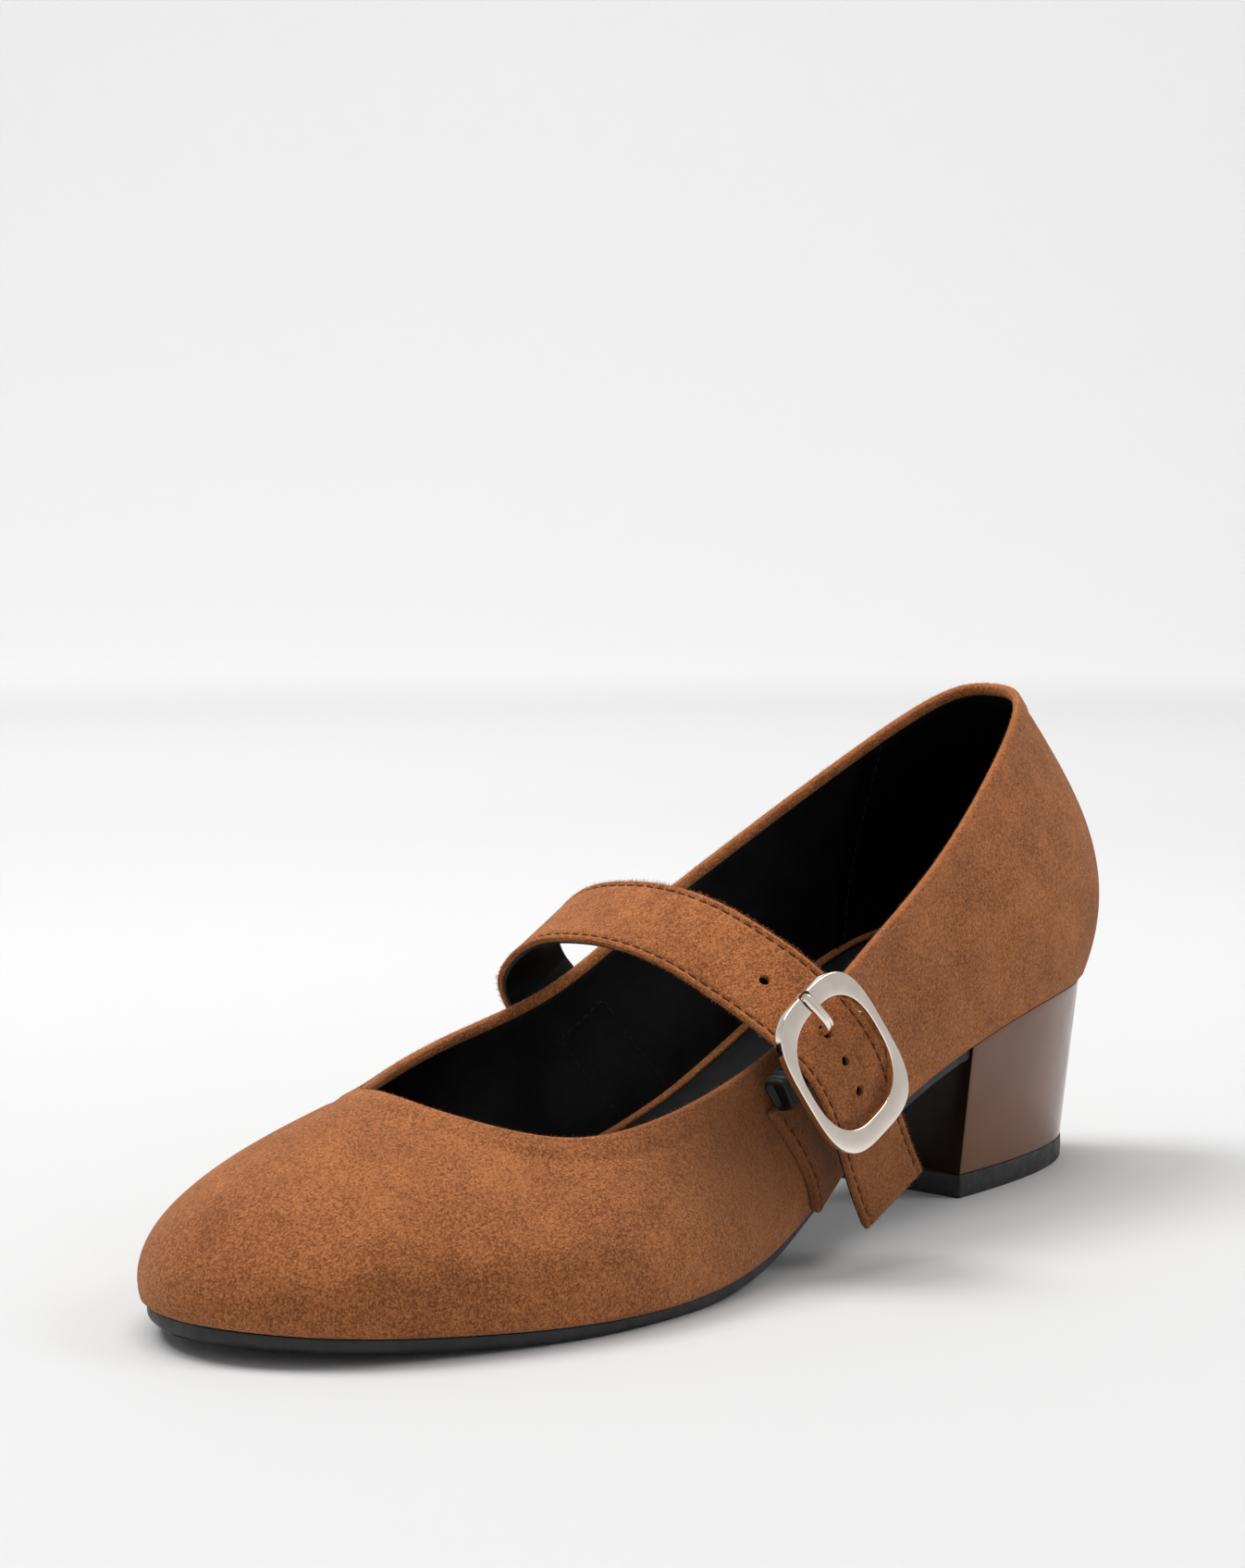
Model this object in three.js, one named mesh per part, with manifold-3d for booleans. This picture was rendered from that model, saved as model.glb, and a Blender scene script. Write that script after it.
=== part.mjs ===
// A mary jane pump for the left foot: lasted upper, insole, thin outsole, block heel and cap,
// and a punched instep strap closed by a centre-bar buckle held on an elastic loop and a side tab.
// Millimetres. +X runs from heel to toe, +Y to the wearer's left (the lateral side), +Z up.
// Standalone use: import the default export, a THREE.Group, and add it to any scene.
import * as THREE from "three";
import Module from "manifold-3d";

const wasm = await Module();
wasm.setup();

// ---- driving dimensions ----
const WALL = 1.9; // upper, suede and lining together
const GAP = 0.3; // clearance between separate pieces
const SOLE_THICK = 2.2;
const INSOLE_THICK = 3.0;
const CAP_HEIGHT = 4.8;
const BREAST_TOP_X = 51; // heel breast, where it meets the upper
const BREAST_FOOT_X = 48.7; // heel breast at the floor
const HEEL_BACK_X = -7.8; // back of the heel at the floor
const HEEL_FOOT_HALF = 20.5; // half width of the heel at the floor
const HEEL_CURVE = 2.4; // squareness of the heel's rounded back
const STRAP_WIDTH = 17.5;
const STRAP_THICK = 2.0;
const STRAP_YAW = -3; // degrees, strap plane about the vertical
const STRAP_TILT = -30; // degrees, strap leans with the instep
const HOLE_RADIUS = 0.9;
const BUCKLE_LONG = 31;
const BUCKLE_WIDE = 24;
const BUCKLE_OPEN_LONG = 23.4;
const BUCKLE_OPEN_WIDE = 20.4;
const BUCKLE_THICK = 1.7;
const BAR_RADIUS = 0.9;
const BAR_DROP = 5.5; // bar below the strap's outer face
const PRONG_RADIUS = 0.85;
const ELASTIC_THICK = 1.0;
const ELASTIC_EDGES = [-9, 9.9]; // across the buckle: heel side, toe side
const TAB_THICK = 1.8;

// The lasted upper, one row per station round the foot, starting at the heel back and going
// by the lateral side to the toe and back by the medial side. foot: feather edge where the
// upper meets the sole. top: topline. swell and shoulder: reach of the wall's curve at the
// foot and below the topline, each with its angle in degrees from level.
const UPPER_ROWS = [
  // foot x, y, z, top x, y, z, swell, angle, shoulder, angle
  [-9.0, 1.0, 38.5, 10.8, 0.0, 101.2, 30, 68, 23, 50],
  [-3.5, 14.5, 38.5, 16.3, 10.8, 98.6, 27, 68, 22.5, 54],
  [19.0, 23.5, 38.0, 36.0, 18.8, 86.5, 23, 74, 18.5, 60],
  [44.0, 25.5, 33.7, 61.5, 23.8, 70.0, 18, 76, 15, 68],
  [70.5, 25.0, 25.0, 89.0, 27.8, 56.5, 15, 75, 13, 75],
  [96.0, 27.5, 14.7, 112.0, 29.5, 44.5, 14, 76, 12.3, 76],
  [121.0, 33.5, 6.3, 131.5, 29.5, 37.0, 14, 77, 12.6, 73],
  [146.5, 38.4, 2.7, 150.5, 28.0, 32.5, 15, 77, 13.2, 62],
  [174.7, 37.5, 2.5, 166.5, 23.5, 31.1, 15, 75, 14.5, 46],
  [201.0, 28.5, 3.7, 178.0, 15.4, 33.6, 15.2, 73, 18, 32],
  [221.0, 14.8, 5.1, 185.0, 5.5, 36.9, 15.2, 71, 21.3, 23],
  [230.5, -5.8, 6.0, 186.0, -4.5, 38.4, 15, 69, 23, 18],
  [223.5, -24.3, 5.4, 182.5, -13.0, 37.2, 16, 71, 21.3, 18],
  [207.3, -35.0, 4.1, 175.5, -20.3, 35.9, 16.2, 74, 17.8, 28],
  [187.0, -40.0, 2.5, 164.3, -29.3, 34.5, 15.5, 76, 14.5, 43],
  [163.4, -38.2, 2.7, 152.0, -34.0, 36.0, 15.2, 77, 13.2, 60],
  [138.0, -31.0, 5.8, 136.3, -33.8, 39.8, 14, 77, 12.6, 72],
  [111.0, -22.5, 13.2, 116.0, -30.5, 45.8, 14, 76, 12.3, 75],
  [83.7, -19.0, 24.0, 93.2, -28.0, 57.4, 15, 75.5, 13, 73.5],
  [55.7, -20.8, 32.6, 64.5, -24.8, 71.8, 18, 77, 15, 67],
  [28.0, -21.0, 37.7, 37.2, -18.4, 86.8, 23, 75, 18.5, 58],
  [4.0, -12.6, 38.5, 15.3, -10.5, 98.8, 27, 69, 22.5, 52],
];

// The strap's outer face in its own plane, from the medial feather edge over the instep to
// the tail. across: distance towards the lateral side. along: height in the leaning plane.
// roll: twist in degrees that lifts the heel-side edge.
const STRAP_ROWS = [
  // across, along, roll
  [-28.6, 99.0, 0],
  [-26.2, 106.5, 0],
  [-18.6, 113.2, 0],
  [-8.8, 117.9, 1],
  [3.0, 119.6, 3],
  [13.5, 118.9, 5],
  [23.0, 115.9, 7],
  [31.4, 110.8, 9],
  [38.6, 105.4, 8],
  [44.0, 99.6, 3],
  [47.4, 93.5, 0],
  [48.6, 86.5, 0],
  [48.2, 79.0, 0],
  [47.4, 72.0, 0],
  [46.9, 65.0, 1],
  [46.8, 58.6, 2],
];
const STRAP_FOOT_ALONG = 71; // where the strap ends at the medial feather edge
const HOLE_MAIN = [45.8, 97.4]; // across, along of the hole that holds the prong

// ---- small tools ----
const V = (x, y, z) => new THREE.Vector3(x, y, z);
const rad = THREE.MathUtils.degToRad;

// A closed curve through the rows, smooth to the second derivative.
function closedCurve(rows) {
  const n = rows.length;
  const m = rows[0].length;
  let c = rows.map((r) => r.slice());
  for (let pass = 0; pass < 40; pass++) {
    for (let i = 0; i < n; i++) {
      for (let k = 0; k < m; k++) {
        c[i][k] = (6 * rows[i][k] - c[(i + n - 1) % n][k] - c[(i + 1) % n][k]) / 4;
      }
    }
  }
  return (t) => {
    const i = Math.floor(t);
    const f = t - i;
    const w = [(1 - f) ** 3 / 6, (3 * f ** 3 - 6 * f * f + 4) / 6, 0, f ** 3 / 6];
    w[2] = 1 - w[0] - w[1] - w[3];
    return c[0].map((_, k) =>
      w.reduce((sum, wk, j) => sum + wk * c[(((i + j - 1) % n) + n) % n][k], 0),
    );
  };
}

// A closed solid from triangles given as point triples; faces that collapse are dropped.
function solid(triangles) {
  const ids = new Map();
  const points = [];
  const index = [];
  const id = (p) => {
    const key = p.toArray().map((v) => Math.round(v * 1e4)).join(",");
    if (!ids.has(key)) {
      ids.set(key, points.length);
      points.push(p);
    }
    return ids.get(key);
  };
  for (const tri of triangles) {
    const [a, b, c] = tri.map(id);
    if (a !== b && b !== c && a !== c) index.push(a, b, c);
  }
  const body = new wasm.Manifold(
    new wasm.Mesh({
      numProp: 3,
      vertProperties: new Float32Array(points.flatMap((p) => p.toArray())),
      triVerts: new Uint32Array(index),
    }),
  );
  if (body.volume() > 0) return body;
  for (let i = 0; i < index.length; i += 3) {
    [index[i + 1], index[i + 2]] = [index[i + 2], index[i + 1]];
  }
  return new wasm.Manifold(
    new wasm.Mesh({
      numProp: 3,
      vertProperties: new Float32Array(points.flatMap((p) => p.toArray())),
      triVerts: new Uint32Array(index),
    }),
  );
}

// Two matching grids of points, skin and lining, joined round their edges into one solid.
// closed: the grids run all the way round in their first direction.
function between(skin, lining, closed) {
  const out = [];
  const n = skin.length;
  const m = skin[0].length;
  const quad = (a, b, c, d) => out.push([a, b, c], [a, c, d]);
  const last = closed ? n : n - 1;
  for (let i = 0; i < last; i++) {
    const k = (i + 1) % n;
    for (let j = 0; j < m - 1; j++) {
      quad(skin[i][j], skin[k][j], skin[k][j + 1], skin[i][j + 1]);
      quad(lining[i][j + 1], lining[k][j + 1], lining[k][j], lining[i][j]);
    }
    quad(lining[i][0], lining[k][0], skin[k][0], skin[i][0]);
    quad(skin[i][m - 1], skin[k][m - 1], lining[k][m - 1], lining[i][m - 1]);
  }
  if (!closed) {
    for (let j = 0; j < m - 1; j++) {
      quad(skin[0][j], skin[0][j + 1], lining[0][j + 1], lining[0][j]);
      quad(lining[n - 1][j], lining[n - 1][j + 1], skin[n - 1][j + 1], skin[n - 1][j]);
    }
  }
  return solid(out);
}

// ---- the lasted upper ----
const upperAt = closedCurve(UPPER_ROWS);
const ROUND = UPPER_ROWS.length;

function footOut(t) {
  const a = upperAt(t - 0.01);
  const b = upperAt(t + 0.01);
  return V(-(b[1] - a[1]), b[0] - a[0], 0).normalize();
}

// A point of the upper's outer face: t goes round the foot, s from feather edge to topline.
function upperPoint(t, s) {
  const r = upperAt(t);
  const foot = V(r[0], r[1], r[2]);
  const top = V(r[3], r[4], r[5]);
  const out = footOut(t);
  const lean = foot.clone().sub(top).setZ(0).addScaledVector(out, 6).normalize();
  const c1 = foot
    .clone()
    .addScaledVector(out, r[6] * Math.cos(rad(r[7])))
    .add(V(0, 0, r[6] * Math.sin(rad(r[7]))));
  const c2 = top
    .clone()
    .addScaledVector(lean, r[8] * Math.cos(rad(r[9])))
    .add(V(0, 0, -r[8] * Math.sin(rad(r[9]))));
  const q = 1 - s;
  return foot
    .multiplyScalar(q ** 3)
    .addScaledVector(c1, 3 * q * q * s)
    .addScaledVector(c2, 3 * q * s * s)
    .addScaledVector(top, s ** 3);
}

function upperNormal(t, s) {
  const lo = Math.max(0, s - 0.01);
  const hi = Math.min(1, s + 0.01);
  const dt = upperPoint(t + 0.02, s).sub(upperPoint(t - 0.02, s));
  const ds = upperPoint(t, hi).sub(upperPoint(t, lo));
  return ds.cross(dt).normalize();
}

const UPPER_ROUND_STEPS = 96;
const UPPER_RISE_STEPS = 9;
const outer = [];
const inner = [];
for (let i = 0; i < UPPER_ROUND_STEPS; i++) {
  const t = (i / UPPER_ROUND_STEPS) * ROUND;
  outer.push([]);
  inner.push([]);
  for (let j = 0; j <= UPPER_RISE_STEPS; j++) {
    const s = j / UPPER_RISE_STEPS;
    const p = upperPoint(t, s);
    const depth = upperNormal(t, s).multiplyScalar(WALL);
    if (j === 0) depth.setZ(0).setLength(WALL);
    outer[i].push(p);
    inner[i].push(p.clone().sub(depth));
  }
}
const upper = between(outer, inner, true);

// Outer face of a side wall: its y at a given x and z. side 1 lateral, -1 medial.
const WALL_LINES = 88;
const wallLines = [];
for (let i = 0; i <= WALL_LINES; i++) {
  const t = 1 + (i / WALL_LINES) * 9;
  const lines = {};
  for (const side of [1, -1]) {
    lines[side] = [];
    for (let j = 0; j <= 16; j++) {
      lines[side].push(upperPoint(side > 0 ? t : ROUND - t, j / 16));
    }
  }
  wallLines.push(lines);
}
// Height of the topline at x on one side.
function rimZ(x, side) {
  const tops = wallLines.map((lines) => lines[side][16]);
  const k = Math.max(1, tops.findIndex((p) => p.x > x));
  const f = (x - tops[k - 1].x) / (tops[k].x - tops[k - 1].x);
  return tops[k - 1].z + (tops[k].z - tops[k - 1].z) * f;
}
function wallY(x, z, side) {
  let before = null;
  for (const lines of wallLines) {
    const line = lines[side];
    let k = 0;
    while (k < 15 && line[k + 1].z < z) k++;
    const f = Math.min(1, Math.max(0, (z - line[k].z) / (line[k + 1].z - line[k].z)));
    const p = line[k].clone().lerp(line[k + 1], f);
    if (before && before.x <= x && p.x > x) {
      return before.y + ((p.y - before.y) * (x - before.x)) / (p.x - before.x);
    }
    before = p;
  }
  return before.y;
}

// ---- plates that follow the foot's outline ----
// The feather outline moved in by inset(x), as lateral and medial lists sorted by x.
function outline(inset) {
  const points = [];
  for (let i = 0; i < 440; i++) {
    const t = (i / 440) * ROUND;
    const r = upperAt(t);
    points.push(V(r[0], r[1], r[2]).addScaledVector(footOut(t), -inset(r[0])));
  }
  const back = points.reduce((a, p, i) => (p.x < points[a].x ? i : a), 0);
  const turned = points.slice(back).concat(points.slice(0, back), [points[back]]);
  const toe = turned.reduce((a, p, i) => (p.x > turned[a].x ? i : a), 0);
  return { lateral: turned.slice(0, toe + 1), medial: turned.slice(toe).reverse() };
}
function atX(list, x) {
  let i = 0;
  while (i < list.length - 2 && list[i + 1].x < x) i++;
  const a = list[i];
  const b = list[i + 1];
  const f = Math.min(1, Math.max(0, (x - a.x) / (b.x - a.x)));
  return a.clone().lerp(b, f);
}
// Stations crowd at a rounded end and are even at a cut end.
function stations(from, to, count, roundFrom, roundTo) {
  return Array.from({ length: count + 1 }, (_, k) => {
    let f = k / count;
    if (roundFrom && roundTo) f = (1 - Math.cos(Math.PI * f)) / 2;
    else if (roundTo) f = Math.sin((Math.PI / 2) * f);
    else if (roundFrom) f = 1 - Math.cos((Math.PI / 2) * f);
    return from + (to - from) * f;
  });
}
// A plate's end stops just short of the outline's tip, where it still has some width.
const TIP = 0.25;
function endX(edge, toe) {
  return toe ? edge.lateral.at(-1).x - TIP : edge.lateral[0].x + TIP;
}
const ACROSS = 8;
function ribs(edge, xs, lift) {
  return xs.map((x) => {
    const a = atX(edge.medial, x);
    const b = atX(edge.lateral, x);
    return Array.from({ length: ACROSS + 1 }, (_, j) => {
      const f = (1 - Math.cos((Math.PI * j) / ACROSS)) / 2;
      const p = a.clone().lerp(b, f);
      return p.setZ(lift(p, Math.sin(Math.PI * f)));
    });
  });
}

const insoleEdge = outline(() => WALL + GAP + 0.4);
const insoleX = stations(endX(insoleEdge, 0), endX(insoleEdge, 1), 36, true, true);
const insole = between(
  ribs(insoleEdge, insoleX, (p, mid) => p.z + GAP + INSOLE_THICK - 0.8 * mid),
  ribs(insoleEdge, insoleX, (p) => p.z + GAP),
  false,
);

// The sole draws in under the waist and has a flat tread at the ball.
const soleInset = (x) => 0.4 + 0.8 * THREE.MathUtils.smoothstep(140 - x, 0, 35);
const soleEdge = outline(soleInset);
const soleX = stations(BREAST_TOP_X + GAP, endX(soleEdge, 1), 36, false, true);
const outsole = between(
  ribs(soleEdge, soleX, (p) => p.z - GAP),
  ribs(soleEdge, soleX, (p, mid) => Math.max(0, p.z - GAP - SOLE_THICK - 0.7 * mid)),
  false,
);

// ---- heel block and cap ----
const seatEdge = outline(() => 0.5);
const seatX = stations(endX(seatEdge, 0), BREAST_TOP_X, 18, true, false);
function heelRing(z, grow) {
  const front = BREAST_FOOT_X + grow;
  const back = HEEL_BACK_X - grow;
  return seatX.map((x) => {
    const f = (BREAST_TOP_X - x) / (BREAST_TOP_X - seatX[0]);
    const half = (HEEL_FOOT_HALF + grow) * (1 - f ** HEEL_CURVE) ** (1 / HEEL_CURVE);
    return Array.from({ length: ACROSS + 1 }, (_, j) => {
      const across = -Math.cos((Math.PI * j) / ACROSS);
      return V(front - (front - back) * f, half * across, z);
    });
  });
}
const heelBlock = between(
  ribs(seatEdge, seatX, (p) => p.z - GAP),
  heelRing(CAP_HEIGHT + GAP, 0),
  false,
);
const heelCap = between(heelRing(CAP_HEIGHT, 0.25), heelRing(0, 0.1), false);

// ---- strap plane ----
const strapW = V(
  Math.cos(rad(STRAP_YAW)) * Math.cos(rad(STRAP_TILT)),
  Math.sin(rad(STRAP_YAW)) * Math.cos(rad(STRAP_TILT)),
  Math.sin(rad(STRAP_TILT)),
); // across the strap, towards the toe
const strapA = V(0, 0, 1).cross(strapW).normalize();
const strapB = strapW.clone().cross(strapA);
const STRAP_OFFSET = 78.5; // the strap plane's distance along strapW
function strapPoint(across, along, over) {
  return V(0, 0, 0)
    .addScaledVector(strapA, across)
    .addScaledVector(strapB, along)
    .addScaledVector(strapW, STRAP_OFFSET + over);
}

// An open curve through rows, by Catmull-Rom on each column.
function openCurve(rows) {
  const at = (i, k) => {
    const n = rows.length - 1;
    if (i < 0) return 2 * rows[0][k] - rows[1][k];
    if (i > n) return 2 * rows[n][k] - rows[n - 1][k];
    return rows[i][k];
  };
  return (u) => {
    const i = Math.min(rows.length - 2, Math.max(0, Math.floor(u)));
    const f = u - i;
    return rows[0].map((_, k) => {
      const [a, b, c, d] = [at(i - 1, k), at(i, k), at(i + 1, k), at(i + 2, k)];
      return (
        b +
        0.5 * f * (c - a + f * (2 * a - 5 * b + 4 * c - d + f * (3 * (b - c) + d - a)))
      );
    });
  };
}
const strapAt = openCurve(STRAP_ROWS);
const STRAP_ACROSS = 4;

// One cross row of the strap's outer face at u along the table; below the table's start the
// strap lies on the medial wall.
function strapRow(u) {
  const row = [];
  const r = u >= 0 ? strapAt(u) : null;
  for (let j = 0; j <= STRAP_ACROSS; j++) {
    const over = STRAP_WIDTH * (j / STRAP_ACROSS - 0.5);
    let p;
    if (r) {
      const e = strapAt(Math.min(u + 0.05, STRAP_ROWS.length - 1));
      const d = strapAt(Math.max(u - 0.05, 0));
      const tangent = strapA.clone().multiplyScalar(e[0] - d[0]);
      tangent.addScaledVector(strapB, e[1] - d[1]).normalize();
      const side = strapW.clone().applyAxisAngle(tangent, rad(r[2]));
      p = strapPoint(r[0], r[1], 0).addScaledVector(side, over);
    } else {
      const first = STRAP_ROWS[0];
      const along = first[1] + u * (first[1] - STRAP_FOOT_ALONG);
      p = strapPoint(first[0], along, over);
    }
    if (p.y < 0) {
      // Low down the strap lies on the medial wall; above the topline it swings free.
      const clear = wallY(p.x, p.z, -1) - GAP - STRAP_THICK - 0.15;
      const free = THREE.MathUtils.smoothstep(p.z - rimZ(p.x, -1), -5, 6);
      p.y = clear + (p.y - clear) * free;
    }
    row.push(p);
  }
  return row;
}
const strapUs = [];
for (let k = 0; k < 8; k++) strapUs.push(-1 + k / 8);
for (let k = 0; k <= 48; k++) strapUs.push((k / 48) * (STRAP_ROWS.length - 1));
const strapSkin = strapUs.map(strapRow);
function faceNormal(grid, i, j) {
  const n = grid.length - 1;
  const m = grid[0].length - 1;
  const a = grid[Math.min(n, i + 1)][j].clone().sub(grid[Math.max(0, i - 1)][j]);
  const b = grid[i][Math.min(m, j + 1)].clone().sub(grid[i][Math.max(0, j - 1)]);
  return a.cross(b).normalize();
}
const strapUnder = strapSkin.map((row, i) =>
  row.map((p, j) => p.clone().addScaledVector(faceNormal(strapSkin, i, j), STRAP_THICK)),
);
let strap = between(strapSkin, strapUnder, false);

// ---- buckle frame of reference: along the strap, across it, and out from the foot ----
const BUCKLE_TURN = 11.7; // degrees, the buckle's lean in the strap plane
const buckleT = strapA
  .clone()
  .multiplyScalar(Math.sin(rad(BUCKLE_TURN)))
  .addScaledVector(strapB, -Math.cos(rad(BUCKLE_TURN)));
const buckleN = strapA
  .clone()
  .multiplyScalar(Math.cos(rad(BUCKLE_TURN)))
  .addScaledVector(strapB, Math.sin(rad(BUCKLE_TURN)));
const BUCKLE_CENTRE = [6.0, 1.3, 0.5]; // from the main hole: along, across, out
const holeAt = strapPoint(HOLE_MAIN[0], HOLE_MAIN[1], 0);
function bucklePoint(along, across, out) {
  return holeAt
    .clone()
    .addScaledVector(buckleT, BUCKLE_CENTRE[0] + along)
    .addScaledVector(strapW, BUCKLE_CENTRE[1] + across)
    .addScaledVector(buckleN, BUCKLE_CENTRE[2] + out);
}

// A round bar through a list of points.
function rod(points, radius, sides = 12) {
  const skin = points.map((p, i) => {
    const a = points[Math.max(0, i - 1)];
    const b = points[Math.min(points.length - 1, i + 1)];
    const dir = b.clone().sub(a).normalize();
    const up = Math.abs(dir.dot(buckleN)) < 0.8 ? buckleN : buckleT;
    const u = up.clone().cross(dir).normalize();
    const v = dir.clone().cross(u);
    return Array.from({ length: sides }, (_, k) => {
      const g = (2 * Math.PI * k) / sides;
      return p
        .clone()
        .addScaledVector(u, radius * Math.cos(g))
        .addScaledVector(v, radius * Math.sin(g));
    });
  });
  const out = [];
  for (let i = 0; i < skin.length - 1; i++) {
    for (let k = 0; k < sides; k++) {
      const l = (k + 1) % sides;
      out.push([skin[i][k], skin[i][l], skin[i + 1][l]]);
      out.push([skin[i][k], skin[i + 1][l], skin[i + 1][k]]);
    }
  }
  for (let k = 1; k < sides - 1; k++) {
    out.push([skin[0][0], skin[0][k + 1], skin[0][k]]);
    out.push([skin.at(-1)[0], skin.at(-1)[k], skin.at(-1)[k + 1]]);
  }
  return solid(out);
}

// Frame: a rounded square ring, thick at its two ends and slim along its sides.
const FRAME_STEPS = 56;
function ringPoint(g, long, wide, square, out) {
  const c = Math.cos(g);
  const s = Math.sin(g);
  const k = (Math.abs(c) ** square + Math.abs(s) ** square) ** (-1 / square);
  return bucklePoint((long / 2) * c * k, (wide / 2) * s * k, out);
}
const frameRows = [];
for (let i = 0; i < FRAME_STEPS; i++) {
  const g = (2 * Math.PI * i) / FRAME_STEPS;
  const rim = 0.35;
  frameRows.push([
    ringPoint(g, BUCKLE_OPEN_LONG, BUCKLE_OPEN_WIDE, 2.6, GAP),
    ringPoint(g, BUCKLE_OPEN_LONG, BUCKLE_OPEN_WIDE, 2.6, GAP + BUCKLE_THICK - rim),
    ringPoint(g, BUCKLE_OPEN_LONG + rim, BUCKLE_OPEN_WIDE + rim, 2.6, GAP + BUCKLE_THICK),
    ringPoint(g, BUCKLE_LONG - rim, BUCKLE_WIDE - rim, 3.4, GAP + BUCKLE_THICK),
    ringPoint(g, BUCKLE_LONG, BUCKLE_WIDE, 3.4, GAP + BUCKLE_THICK - rim),
    ringPoint(g, BUCKLE_LONG, BUCKLE_WIDE, 3.4, GAP),
  ]);
}
const frameTris = [];
for (let i = 0; i < FRAME_STEPS; i++) {
  const k = (i + 1) % FRAME_STEPS;
  for (let j = 0; j < 6; j++) {
    const l = (j + 1) % 6;
    frameTris.push([frameRows[i][j], frameRows[k][j], frameRows[k][l]]);
    frameTris.push([frameRows[i][j], frameRows[k][l], frameRows[i][l]]);
  }
}
const sideMid = (BUCKLE_WIDE + BUCKLE_OPEN_WIDE) / 4;
const BAR_ALONG = -3.0; // the bar sits a little above the middle of the frame
const BAR_CORNER = 1.0;
const barPath = [
  bucklePoint(BAR_ALONG, -sideMid, GAP + 0.6),
  bucklePoint(BAR_ALONG, -sideMid, BAR_CORNER - BAR_DROP),
  bucklePoint(BAR_ALONG, BAR_CORNER - sideMid, -BAR_DROP),
  bucklePoint(BAR_ALONG, sideMid - BAR_CORNER, -BAR_DROP),
  bucklePoint(BAR_ALONG, sideMid, BAR_CORNER - BAR_DROP),
  bucklePoint(BAR_ALONG, sideMid, GAP + 0.6),
];

// Prong: an eye round the bar, then up through the main hole to lie in a notch of the frame.
const PRONG_SKEW = 0.24; // the prong slants across the frame as it goes up from the hole
const PRONG_HOLE_ALONG = -6.9;
const EYE_STEPS = 9;
const EYE_START = -0.35; // in half turns round the bar
const EYE_SWEEP = 1.5;
const prongPath = [];
for (let k = 0; k <= EYE_STEPS; k++) {
  const g = Math.PI * (EYE_START + (EYE_SWEEP * k) / EYE_STEPS);
  const r = BAR_RADIUS + GAP + PRONG_RADIUS;
  prongPath.push([BAR_ALONG + r * Math.cos(g), -BAR_DROP - r * Math.sin(g)]);
}
prongPath.push([-5.4, -3.6], [-5.9, -2.2], [-6.3, -0.6], [PRONG_HOLE_ALONG, 0.8]);
prongPath.push([-8.2, 1.6], [-10.2, 1.85], [-12.8, 1.9], [-15.2, 1.8]);
function prongPoint([along, out]) {
  const slant = PRONG_SKEW * (PRONG_HOLE_ALONG - along);
  return bucklePoint(along, slant - BUCKLE_CENTRE[1], out);
}
const prongPoints = prongPath.map(prongPoint);
const prong = rod(prongPoints, PRONG_RADIUS, 10);
const prongRoom = rod(prongPoints.slice(EYE_STEPS), PRONG_RADIUS + GAP, 12);
const PAST_FRAME = [-17, 1.8]; // along, out: where the notch has left the frame
const tipRoom = rod(
  [prongPoints.at(-4), prongPoints.at(-1), prongPoint(PAST_FRAME)],
  PRONG_RADIUS + GAP,
  12,
);
const buckleFrame = solid(frameTris).subtract(tipRoom).add(rod(barPath, BAR_RADIUS));

// ---- holes in the strap ----
let holes = null;
const holeTable = [
  // across, along
  [35.9, 107.6],
  [41.5, 102.6],
  HOLE_MAIN,
  [48.2, 91.2],
  [48.7, 84.5],
];
holeTable.forEach(([across, along], k) => {
  const lo = strapPoint(across, along, 0);
  const dir = k < 2 ? strapA.clone().addScaledVector(strapB, 0.8).normalize() : buckleN;
  const path = [lo.clone().addScaledVector(dir, -7), lo.clone().addScaledVector(dir, 5)];
  const pin = rod(path, HOLE_RADIUS, 14);
  holes = holes ? holes.add(pin) : pin;
});
strap = strap.subtract(holes.add(prongRoom));

// ---- elastic loop round the bar, and the tab on the lateral wall ----
const LOOP_LONG = 8.0; // from the bar down to the tab
const LOOP_END = 0.7; // the loop's lower end is this much slimmer than the end on the bar
const loopSection = (grow) => {
  const pts = [];
  const r = BAR_RADIUS + GAP + grow;
  for (let k = 0; k <= 8; k++) {
    const g = Math.PI / 2 + (Math.PI * k) / 8;
    pts.push([r * Math.cos(g), r * Math.sin(g)]);
  }
  for (let k = 0; k <= 8; k++) {
    const g = -Math.PI / 2 + (Math.PI * k) / 8;
    const end = r * LOOP_END;
    pts.push([LOOP_LONG + end * Math.cos(g), end * Math.sin(g)]);
  }
  return pts;
};
const LOOP_LEAN = -0.12; // the loop leans back to the wall as it goes down
function loopRing(half) {
  const place = ([a, o]) =>
    bucklePoint(BAR_ALONG + a, half, -BAR_DROP + o + LOOP_LEAN * a);
  return [loopSection(0).map(place), loopSection(ELASTIC_THICK).map(place)];
}
const [loopInA, loopOutA] = loopRing(ELASTIC_EDGES[0]);
const [loopInB, loopOutB] = loopRing(ELASTIC_EDGES[1]);
const loopSkin = loopOutA.map((p, i) => [p, loopOutB[i]]);
const loopHole = loopInA.map((p, i) => [p, loopInB[i]]);
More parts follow.
